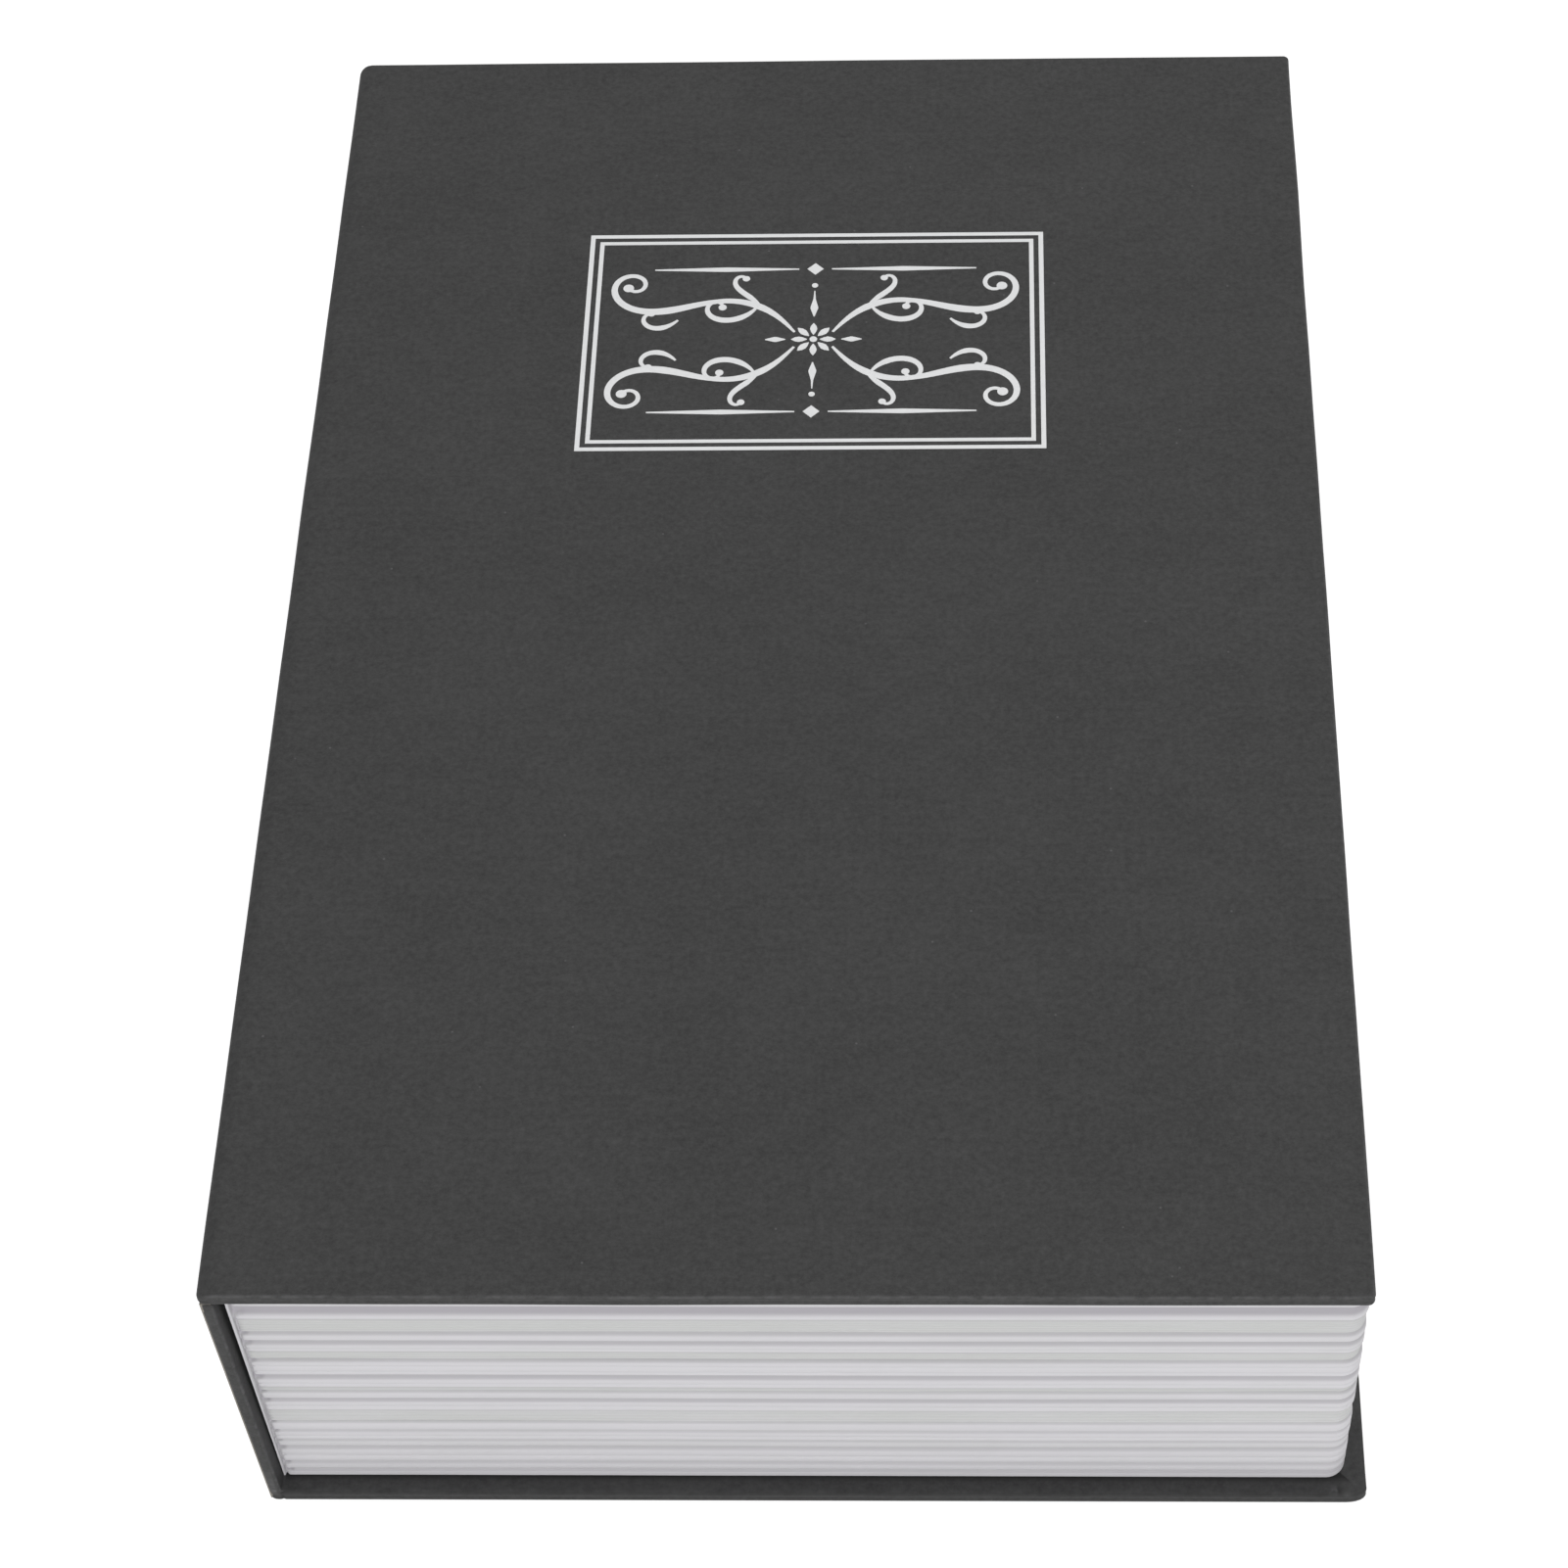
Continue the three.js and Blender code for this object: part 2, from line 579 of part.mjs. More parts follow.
// One leaf from its plate: its own knuckles are added and room is cut for those of the other leaf.
function hingeLeaf(plate, firstKnuckle, roomX, roomZ) {
  let leaf = plate;
  for (let knuckle = 0; knuckle < knuckleCount; knuckle += 1) {
    const low = -hingeHalf + knuckle * knucklePitch;
    const high = low + knucklePitch;
    const ownKnuckle = knuckle % 2 === firstKnuckle;
    leaf = ownKnuckle
      ? leaf.add(turnedY(cylinderProfile(knuckleRadius, low + knuckleGap / 2, high - knuckleGap / 2),
        knuckleSides, [hingeX, hingeZ]))
      : leaf.subtract(block(roomX, [low - knuckleGap / 2, high + knuckleGap / 2], roomZ));
  }
  return leaf.subtract(pinBore);
}

const knuckleRoom = knuckleRadius + knuckleGap;
const leafEnd = hingeHalf - knuckleGap / 2;
const boxLeafX = [boxLeft - glueLine - leafThickness, boxLeft - glueLine];
let boxLeaf = hingeLeaf(block(boxLeafX, [-leafEnd, leafEnd], [hingeZ - boxLeafHeight, hingeZ]), 0,
  [boxLeafX[0] - overrun, boxLeafX[1] + overrun], [hingeZ - knuckleRoom, hingeZ + overrun]);
let lidLeaf = hingeLeaf(
  block([hingeX, boxLeft + lidLeafWidth], [-leafEnd, leafEnd], [leafBottom, leafTop]), 1,
  [hingeX - overrun, hingeX + knuckleRoom], [leafBottom - overrun, leafTop + overrun],
);
for (const y of rivetPlaces) {
  boxLeaf = boxLeaf.subtract(crossBore([y, boxRivetZ], rivetShankRadius, fastenerPlay,
    [boxLeafX[0] - overrun, boxLeafX[1] + overrun], fastenerSides));
  lidLeaf = lidLeaf.subtract(bore([lidRivetX, y], rivetShankRadius, fastenerPlay,
    [leafBottom - overrun, leafTop + overrun], fastenerSides));
}
addPart(caseGroup, 'box_hinge_leaf', boxLeaf, materials.plated);
addPart(lidGroup, 'lid_hinge_leaf', lidLeaf, materials.plated);

const pinHeadRadius = pinRadius + pinHeadOverhang;
addPart(caseGroup, 'hinge_pin', turnedY([
  [0, -hingeHalf - pinHeadThickness], [pinHeadRadius, -hingeHalf - pinHeadThickness],
  [pinHeadRadius, -hingeHalf], [pinRadius, -hingeHalf], [pinRadius, hingeHalf],
  [pinHeadRadius, hingeHalf], [pinHeadRadius, hingeHalf + pinHeadThickness],
  [0, hingeHalf + pinHeadThickness],
], knuckleSides, [hingeX, hingeZ]), materials.plated);

// Rivets: the head bears on z = 0 of its own frame and the shank points down through the grip

function domed(radius, foot, height) {
  return arc([0, 0], 1, 0, Math.PI / 2, domeSteps).map(([x, z]) => [radius * x, foot + height * z]);
}

function rivet(grip) {
  return turnedZ([
    [0, -grip - rivetTailHeight], [rivetTailRadius, -grip - rivetTailHeight],
    [rivetTailRadius, -grip], [rivetShankRadius, -grip], [rivetShankRadius, 0],
    ...domed(rivetHeadRadius, 0, rivetHeadHeight),
  ], fastenerSides);
}

const rivetGrip = sheet + leafThickness + 3 * glueLine;
rivetPlaces.forEach((y, place) => {
  const boxRivet = addPart(caseGroup, `box_leaf_rivet_${place + 1}`, rivet(rivetGrip), materials.plated);
  boxRivet.rotation.y = -Math.PI / 2;
  boxRivet.position.set(boxLeafX[0] - glueLine, y, boxRivetZ);
  const lidRivet = addPart(lidGroup, `lid_leaf_rivet_${place + 1}`, rivet(rivetGrip), materials.plated);
  lidRivet.position.set(lidRivetX, y, lidTop + glueLine);
});

// Screws that hold the box and the page block down on the back board

const screwLength = boxFloor + glueLine - screwTip;
const recessHalf = [recessWidth / 2, recessLength / 2];
const recessHeights = [screwHeadHeight - recessDepth, screwHeadHeight + overrun];
const boxScrew = turnedZ([
  [0, -screwLength], [screwShankRadius, screwPoint - screwLength], [screwShankRadius, 0],
  ...domed(screwHeadRadius, 0, screwHeadHeight),
], fastenerSides)
  .subtract(block([-recessHalf[0], recessHalf[0]], [-recessHalf[1], recessHalf[1]], recessHeights))
  .subtract(block([-recessHalf[1], recessHalf[1]], [-recessHalf[0], recessHalf[0]], recessHeights));
screwPlaces.forEach(([x, y], place) => {
  addPart(caseGroup, `box_screw_${place + 1}`, boxScrew, materials.plated)
    .position.set(x, y, boxFloor + glueLine);
});

// Lock: its frame has z = 0 on the top of the lid and the lock's axis for its own

lockGroup.position.set(lockX, 0, lidTop);
const bodyEnd = -lockBodyLength;
const nutCorner = nutAcrossFlats / 2 / Math.cos(Math.PI / hexSides);
const washerTop = -sheet - glueLine;
const washerBottom = washerTop - washerThickness;
const nutTop = washerBottom - glueLine;
const nutBottom = nutTop - nutThickness;
const nutChamfer = (nutCorner - nutAcrossFlats / 2) * Math.tan(Math.PI / hexSides);
const bodyBore = (heights) => bore([0, 0], lockBodyRadius, lockHolePlay, heights, lockSides);

const lockBody = turnedZ([
  [0, bodyEnd], [lockBodyRadius, bodyEnd], [lockBodyRadius, glueLine], [lockHeadRadius, glueLine],
  [lockHeadRadius, lockHeadHeight - lockHeadChamfer], [lockHeadRadius - lockHeadChamfer, lockHeadHeight],
  [0, lockHeadHeight],
], lockSides)
  .subtract(block([-lockHeadRadius, lockHeadRadius], [lockFlatDistance, lockHeadRadius],
    [bodyEnd - overrun, glueLine]))
  .subtract(block([-lockHeadRadius, lockHeadRadius], [-lockHeadRadius, -lockFlatDistance],
    [bodyEnd - overrun, glueLine]))
  .subtract(bore([0, 0], plugRadius, plugPlay, [bodyEnd - overrun, lockHeadHeight + overrun], lockSides));
addPart(lockGroup, 'lock_body', lockBody, materials.chrome);
addPart(lockGroup, 'lock_washer', turnedZ(cylinderProfile(washerRadius, washerBottom, washerTop), lockSides)
  .subtract(bodyBore([washerBottom - overrun, washerTop + overrun])), materials.plated);
addPart(lockGroup, 'lock_nut', turnedZ(cylinderProfile(nutCorner, nutBottom, nutTop), hexSides)
  .intersect(turnedZ([
    [0, nutBottom], [nutAcrossFlats / 2, nutBottom], [nutCorner, nutBottom + nutChamfer],
    [nutCorner, nutTop - nutChamfer], [nutAcrossFlats / 2, nutTop], [0, nutTop],
  ], lockSides))
  .subtract(bodyBore([nutBottom - overrun, nutTop + overrun])), materials.plated);

// The plug turns in the body and carries the cam on its square end; here the cam points to the tail.
const camFace = bodyEnd - camGap;
const camBack = camFace - camThickness;
const plugTop = lockHeadHeight - plugRecess;
const square = (half, heights) => block([-half, half], [-half, half], heights);
const lockPlug = turnedZ(cylinderProfile(plugRadius, bodyEnd, plugTop), lockSides)
  .add(square(tenonWidth / 2, [camBack + glueLine, bodyEnd + overrun]))
  .subtract(block([-keywayWidth / 2, keywayWidth / 2], [-keywayLength / 2, keywayLength / 2],
    [plugTop - keywayDepth, plugTop + overrun]))
  .subtract(bore([0, 0], camScrewRadius, fastenerPlay,
    [camBack - overrun, bodyEnd + camScrewBite + fastenerPlay], fastenerSides));
addPart(plugGroup, 'lock_plug', lockPlug, materials.chrome);

const tipAngle = Math.asin(camWidth / 2 / camReach);
const camOutline = [
  ...arc([0, 0], camReach, -Math.PI / 2 - tipAngle, -Math.PI / 2 + tipAngle, cornerSteps),
  ...arc([0, 0], camWidth / 2, 0, Math.PI, 2 * cornerSteps),
];
addPart(plugGroup, 'lock_cam', prismZ(camOutline, camBack, camFace)
  .subtract(square(tenonWidth / 2 + tenonPlay, [camBack - overrun, camFace + overrun])), materials.plated);
const camScrewSeat = camBack - glueLine;
addPart(plugGroup, 'cam_screw', turnedZ([
  [0, camScrewSeat - camScrewHeadHeight], [camScrewHeadRadius, camScrewSeat - camScrewHeadHeight],
  [camScrewHeadRadius, camScrewSeat], [camScrewRadius, camScrewSeat],
  [camScrewRadius, bodyEnd + camScrewBite], [0, bodyEnd + camScrewBite],
], fastenerSides)
  .subtract(block([-recessHalf[0], recessHalf[0]], [-camScrewHeadRadius, camScrewHeadRadius],
    [camScrewSeat - camScrewHeadHeight - overrun, camScrewSeat - camScrewHeadHeight + recessDepth])),
materials.plated);

// Keys: flat blanks that lie on the floor of the box, blade towards the tail

const bladeHalf = keywayLength / 2 - keyPlay;
const bladeStart = bowRadius + shoulderLength;
const bladeLength = keywayDepth - keyPlay;
const bladeEnd = bladeStart + bladeLength;
let key = prismZ(arc([0, 0], bowRadius, 0, 2 * Math.PI, lockSides).slice(1), 0, keyThickness)
  .add(block([-bladeHalf - shoulderWidth, bladeHalf + shoulderWidth], [-bladeStart, 0], [0, keyThickness]))
  .add(prismZ([[-bladeHalf, 0], [-bladeHalf, bladeHalf - bladeEnd], [0, -bladeEnd],
    [bladeHalf, bladeHalf - bladeEnd], [bladeHalf, 0]], 0, keyThickness))
  .subtract(bore([0, bowRadius - bowHoleInset - bowHoleRadius], bowHoleRadius, 0,
    [-overrun, keyThickness + overrun], fastenerSides));
cutShares.forEach((share, cut) => {
  const depth = bitDepth * bitShares[cut];
  const y = -bladeStart - share * (bladeLength - bladeHalf);
  key = key.subtract(prismZ([[bladeHalf - depth, y], [bladeHalf + overrun, y - depth - overrun],
    [bladeHalf + overrun, y + depth + overrun]], -overrun, keyThickness + overrun));
});
[0, 1].forEach((place) => {
  addPart(caseGroup, `key_${place + 1}`, key, materials.plated).position.set(
    boxLeft + sheet + keyWallMargin + place * keySpacing,
    boxHalf - sheet - keyWallMargin,
    boxFloor + glueLine,
  );
});

export default book;
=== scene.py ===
import math
import bpy
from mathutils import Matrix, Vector, noise


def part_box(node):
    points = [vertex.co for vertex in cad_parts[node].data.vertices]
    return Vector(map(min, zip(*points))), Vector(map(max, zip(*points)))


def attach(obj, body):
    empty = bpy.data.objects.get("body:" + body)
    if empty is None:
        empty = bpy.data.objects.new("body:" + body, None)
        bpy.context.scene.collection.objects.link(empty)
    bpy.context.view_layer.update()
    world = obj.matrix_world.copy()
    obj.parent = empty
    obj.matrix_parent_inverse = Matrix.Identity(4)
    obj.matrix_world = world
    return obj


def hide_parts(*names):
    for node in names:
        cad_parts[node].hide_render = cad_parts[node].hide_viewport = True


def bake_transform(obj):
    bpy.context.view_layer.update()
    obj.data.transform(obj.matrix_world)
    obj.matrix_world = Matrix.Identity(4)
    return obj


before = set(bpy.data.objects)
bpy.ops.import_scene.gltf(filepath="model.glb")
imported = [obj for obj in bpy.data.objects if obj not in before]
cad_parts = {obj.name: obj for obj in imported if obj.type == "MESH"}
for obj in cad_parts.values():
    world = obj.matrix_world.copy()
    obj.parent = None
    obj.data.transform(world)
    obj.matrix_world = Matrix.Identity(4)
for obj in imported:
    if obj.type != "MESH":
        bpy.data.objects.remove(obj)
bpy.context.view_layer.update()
bpy.ops.object.select_all(action="DESELECT")
MM = 0.001

# Camera: a long lens above the tail of the closed book. Its place, its angles and its focal length
# are fitted to the straight edges of both covers in the photograph.
LENS = 95.14
CAMERA_PLACE = (25.7 * MM, -403.9 * MM, 521.1 * MM)
CAMERA_TURN = [math.radians(angle) for angle in (38.43, 1.75, 1.14)]
SIDE_SHIFT = -0.033
NEAR_CLIP = 10 * MM
bpy.ops.object.camera_add(location=CAMERA_PLACE, rotation=CAMERA_TURN)
camera = bpy.context.object
camera.data.lens = LENS
camera.data.shift_x = SIDE_SHIFT
camera.data.clip_start = NEAR_CLIP
bpy.context.scene.camera = camera

# Floor: a wide white table top. It keeps the soft shadow of the book, and to the camera and in
# reflections part of its white is its own, so that it is as bright as the photograph's background.
FLOOR_SIZE = 8
FLOOR_DROP = 0.05 * MM
FLOOR_WHITE = (0.8, 0.8, 0.8, 1)
SEEN_WHITE = (0.3, 0.3, 0.3, 1)
OWN_WHITE = 0.87
bpy.ops.mesh.primitive_plane_add(size=FLOOR_SIZE, location=(0, 0, -FLOOR_DROP))
floor = bpy.context.object
floor.name = "table_top"


# Adds a shader node, sets its properties and its sockets, and links the sockets given as outputs.
def wire(tree, kind, sockets, **properties):
    made = tree.nodes.new(kind)
    for name, value in properties.items():
        setattr(made, name, value)
    for name, value in sockets.items():
        if isinstance(value, bpy.types.NodeSocket):
            tree.links.new(value, made.inputs[name])
        else:
            made.inputs[name].default_value = value
    return made


# A new material with its node tree emptied but for the output.
def blank_material(name):
    material = bpy.data.materials.new(name)
    material.use_nodes = True
    tree = material.node_tree
    tree.nodes.clear()
    return material, tree, tree.nodes.new("ShaderNodeOutputMaterial")


# One where the camera, a mirror or a lens looks at the surface, and zero where light only falls on it.
def seen_directly(tree):
    path = wire(tree, "ShaderNodeLightPath", {}).outputs
    seen = wire(tree, "ShaderNodeMath", {0: path["Is Camera Ray"], 1: path["Is Glossy Ray"]},
                operation="MAXIMUM").outputs[0]
    return wire(tree, "ShaderNodeMath", {0: seen, 1: path["Is Transmission Ray"]},
                operation="MAXIMUM").outputs[0]


material, tree, output = blank_material("white_table")
lit = wire(tree, "ShaderNodeBsdfDiffuse", {"Color": FLOOR_WHITE}).outputs[0]
seen_lit = wire(tree, "ShaderNodeBsdfDiffuse", {"Color": SEEN_WHITE}).outputs[0]
own = wire(tree, "ShaderNodeEmission", {"Strength": OWN_WHITE}).outputs[0]
seen = wire(tree, "ShaderNodeAddShader", {0: seen_lit, 1: own}).outputs[0]
both = wire(tree, "ShaderNodeMixShader", {0: seen_directly(tree), 1: lit, 2: seen}).outputs[0]
tree.links.new(both, output.inputs["Surface"])
floor.data.materials.append(material)

# Light: an even white room, a wide soft box overhead and a little behind, a lower one in front of the
# tail, which brightens the lips of the page sections, and a small weak one past the fore edge.
ROOM_STRENGTH = 0.36
SOFT_BOXES = [  # place, side and power of each
    ((0.0, 0.6, 1.6), 1.5, 9.5),
    ((0.05, -1.45, 0.7), 0.8, 14.8),
    ((0.6, 0.2, 0.4), 0.4, 1.0),
]
world = bpy.data.worlds.new("white_room")
bpy.context.scene.world = world
world.use_nodes = True
tree = world.node_tree
tree.nodes.clear()
room = wire(tree, "ShaderNodeBackground", {"Strength": ROOM_STRENGTH}).outputs[0]
room_seen = wire(tree, "ShaderNodeBackground", {"Strength": 1}).outputs[0]
room_both = wire(tree, "ShaderNodeMixShader", {0: seen_directly(tree), 1: room, 2: room_seen}).outputs[0]
tree.links.new(room_both, tree.nodes.new("ShaderNodeOutputWorld").inputs["Surface"])
for place, side, power in SOFT_BOXES:
    towards_book = (-Vector(place)).to_track_quat("-Z", "Y").to_euler()
    bpy.ops.object.light_add(type="AREA", location=place, rotation=towards_book)
    bpy.context.object.data.size = side
    bpy.context.object.data.energy = power
bpy.context.scene.view_settings.view_transform = "Standard"

# Page block: one off-white plastic tray, glued to the back cover. Its three outer sides are moulded as
# page sections that lean out to a lower lip, with dark lines between them; round the top runs a rim,
# and at the spine end of each side a smooth flange. Ribs inside keep the steel box in the middle.
BOOK_LENGTH = 240 * MM
COVER_WIDTH = 155 * MM
BLOCK_LOW, BLOCK_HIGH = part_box("page_block")
BLOCK_SIZE = BLOCK_HIGH - BLOCK_LOW
BLOCK_HEIGHT = BLOCK_HIGH.z - BLOCK_LOW.z
BLOCK_LEAN = 1.63 * MM
BLOCK_DRAFT = 0.6 * MM
CORNER_RADIUS = 2.8 * MM
CORNER_STEPS = 8
TRAY_WALL = 2 * MM
TRAY_FLOOR = 2 * MM
GROOVE_DEPTH = 0.75 * MM
FOOT_GROOVE = 0.3
LIP_RADIUS = 0.28 * MM
LIP_MOST_SHARE = 0.3
LIP_STEPS = 4
SHOULDER_MOST_SHARE = 0.85
SHOULDER_CURVE = 1.7
SHOULDER_STEPS = 6
PAGE_LINE_DEPTH = 0.07 * MM
PAGE_LINE_WIDTH = 0.34 * MM
PAGE_LINE_SHADE = 0.3
SHADE_BELOW = 1.25
SHADE_FADE_LEAST = 0.05 * MM
FLANGE_TOP = 0.35 * MM
FLANGE_FOOT = 0.15 * MM
FLANGE_CUTS = (0.1, 0.22, 0.34, 0.46, 0.6, 0.75, 0.9, 1.1, 1.35, 1.65, 2.0, 2.4)
FLANGE_STEP = 0.2 * MM
FLANGE_GROOVE = 0.8
RIDGE_END = 0.5 * MM
BAR_ROUND = 1.2 * MM
END_DEPTH = 0.5
END_SHADE = 0.8
END_LINE_SHADE = 0.5
LINE_DRIFT = 0.14 * MM
LINE_DRIFT_LENGTH = 60 * MM
DRIFT_FREE = 1 * MM
DEPTH_CHANGE = 0.35
DEPTH_CHANGE_LENGTH = 25 * MM
DEPTH_CHANGE_RISE = 9
STATIONS = {"end": 38, "fore": 60, "spine": 10}
LONG_EDGE = 50 * MM
# Page sections from the foot up: top edge as a share of the height, set-back and the line above it as
# shares of the groove's depth, page lines in it, and how far down it the shade of that line reaches.
PAGE_SECTIONS = [
    (0.041, 0.05, 0.75, 0, 0.2), (0.085, 0.0, 0.62, 0, 0.6), (0.169, 0.0, 0.65, 1, 0.8),
    (0.208, 0.1, 0.5, 0, 0.4), (0.263, 0.0, 0.5, 1, 0.4), (0.307, 0.0, 0.5, 0, 0.3),
    (0.373, 0.3, 0.4, 3, 0.3), (0.437, 0.0, 0.75, 1, 0.4), (0.474, 0.05, 0.55, 0, 0.4),
    (0.500, 0.4, 0.5, 1, 0.2), (0.566, 0.0, 0.8, 1, 0.7), (0.644, 0.0, 0.65, 2, 0.4),
    (0.690, 0.4, 0.5, 2, 0.3), (0.748, 0.05, 0.8, 1, 0.7), (0.789, 0.05, 0.7, 0, 0.6),
    (0.862, 0.4, 0.5, 4, 0.5), (0.925, 0.0, 1.3, 0, 2.7), (1.0, 0.1, 0.5, 0, 0.3),
]
RIB_THICKNESS = 2 * MM
RIB_HEIGHT = 24 * MM
RIB_PLAY = 0.3 * MM
SIDE_RIB_SHARES = (-0.32, 0, 0.32)
END_RIB_SHARES = (-0.28, 0.28)
SAME_PLACE = 0.01 * MM
# How far a face's normal has to point one way for the face to count as facing that way.
FACING = 0.9
HALF_FACING = 0.5
SMOOTH_BELOW = math.radians(35)
NOISE_RANGE = (0.3, 0.7)


# Selects what the test accepts among an object's vertices, edges or faces, and opens edit mode. The test
# gets a vertex's place, the places of an edge's two ends, or a face's middle and normal.
def pick(piece, kind, test):
    mesh = piece.data
    for group in (mesh.vertices, mesh.edges, mesh.polygons):
        group.foreach_set("select", [False] * len(group))
    ends = [vertex.co for vertex in mesh.vertices]
    if kind == "VERT":
        chosen = [vertex for vertex in mesh.vertices if test(vertex.co)]
    elif kind == "EDGE":
        chosen = [edge for edge in mesh.edges if test(*(ends[index] for index in edge.vertices))]
    else:
        chosen = [face for face in mesh.polygons if test(face.center, face.normal)]
    for item in chosen:
        item.select = True
    bpy.context.tool_settings.mesh_select_mode = [kind == name for name in ("VERT", "EDGE", "FACE")]
    bpy.ops.object.mode_set(mode="EDIT")


# A cube between two corners, with its place in its mesh.
def cube_between(name, low, high):
    low, high = Vector(low), Vector(high)
    bpy.ops.object.select_all(action="DESELECT")
    bpy.ops.mesh.primitive_cube_add(size=1, location=(low + high) / 2, scale=high - low)
    piece = bpy.context.object
    piece.name = name
    bpy.ops.object.transform_apply(location=True, rotation=True, scale=True)
    return piece


# Deletes the faces that the test accepts, with their loose edges or without.
def delete_faces(piece, test, kind="FACE"):
    pick(piece, "FACE", test)
    bpy.ops.mesh.delete(type=kind)
    bpy.ops.object.mode_set(mode="OBJECT")


# Cuts all faces of an object by planes square to one axis, at the given places.
def cut_across(piece, axis, places):
    plane_normal = [0, 0, 0]
    plane_normal[axis] = 1
    for place in places:
        point = [0, 0, 0]
        point[axis] = place
        pick(piece, "FACE", lambda middle, normal: True)
        bpy.ops.mesh.bisect(plane_co=point, plane_no=plane_normal)
        bpy.ops.object.mode_set(mode="OBJECT")


# Shades a piece smooth, apart from its sharp edges.
def shade_smoothly(piece):
    bpy.ops.object.select_all(action="DESELECT")
    piece.select_set(True)
    bpy.context.view_layer.objects.active = piece
    bpy.ops.object.shade_smooth_by_angle(angle=SMOOTH_BELOW)


def near(a, b, gap=SAME_PLACE):
    return abs(a - b) < gap


def smooth_step(value):
    value = min(max(value, 0), 1)
    return value * value * (3 - 2 * value)


# The section down a side: heights above the foot, how deep each lies as a share of the groove, and how
# much painted shade the plastic gets there. Below a lip the painted shade is full as far down as the lip
# overhangs, then fades out.
def page_profile(height):
    rows = []
    foot = 0
    groove_below = FOOT_GROOVE
    for index, (top_share, set_back, groove, lines, shade_reach) in enumerate(PAGE_SECTIONS):
        top = top_share * height
        lip = min(LIP_RADIUS, LIP_MOST_SHARE * (top - foot))
        lip_above = PAGE_SECTIONS[min(index + 1, len(PAGE_SECTIONS) - 1)][1]
        under_lip = max(groove - lip_above, 0) * GROOVE_DEPTH * SHADE_BELOW
        shoulder = min(under_lip + shade_reach * MM, SHOULDER_MOST_SHARE * (top - foot - lip))
        for step in range(LIP_STEPS + 1):
            turn = math.pi / 2 * step / LIP_STEPS
            inner = 1 - math.sin(turn)
            rows.append((foot + lip * (1 - math.cos(turn)), set_back + (groove_below - set_back) * inner,
                         groove_below * inner))
        start, end = foot + lip, top - shoulder
        for line in range(lines):
            middle = start + (end - start) * (line + 0.5) / lines
            rows.append((middle - PAGE_LINE_WIDTH / 2, set_back, 0))
            rows.append((middle, set_back + PAGE_LINE_DEPTH / GROOVE_DEPTH, PAGE_LINE_SHADE))
            rows.append((middle + PAGE_LINE_WIDTH / 2, set_back, 0))
        for step in range(SHOULDER_STEPS):
            share = step / SHOULDER_STEPS
            faded = (shoulder * (1 - share) - under_lip) / max(shoulder - under_lip, SHADE_FADE_LEAST)
            rows.append((end + shoulder * share, set_back + (groove - set_back) * share ** SHOULDER_CURVE,
                         groove * smooth_step(1 - faded)))
        foot = top
        groove_below = groove
    rows.append((height, groove_below, groove_below))
    rows.sort()
    return rows


# Whether an edge runs along the given side of the block.
def runs_along(side, a, b):
    if (a - b).length < LONG_EDGE or not near(a.z, b.z):
        return False
    if side == "end":
        return near(a.y, b.y)
    return near(a.x, b.x) and near(a.x, BLOCK_HIGH.x if side == "fore" else BLOCK_LOW.x)


page_block = cube_between("page_block_moulding", BLOCK_LOW, BLOCK_HIGH)
delete_faces(page_block, lambda middle, normal: abs(normal.z) > FACING, "ONLY_FACE")
pick(page_block, "EDGE", lambda a, b: near(a.x, BLOCK_HIGH.x) and near(b.x, BLOCK_HIGH.x) and near(a.y, b.y))
bpy.ops.mesh.bevel(offset=CORNER_RADIUS, segments=CORNER_STEPS, affect="EDGES")
bpy.ops.object.mode_set(mode="OBJECT")
cut_across(page_block, 0, [BLOCK_LOW.x + offset * MM for offset in FLANGE_CUTS])
for side, count in STATIONS.items():
    pick(page_block, "EDGE", lambda a, b: runs_along(side, a, b))
    bpy.ops.mesh.subdivide(number_cuts=count - 1)
    bpy.ops.object.mode_set(mode="OBJECT")
profile = page_profile(BLOCK_HEIGHT)
pick(page_block, "EDGE", lambda a, b: not near(a.z, b.z))
bpy.ops.mesh.subdivide_edgering(number_cuts=len(profile) - 2, interpolation="LINEAR", smoothness=0)
bpy.ops.object.mode_set(mode="OBJECT")

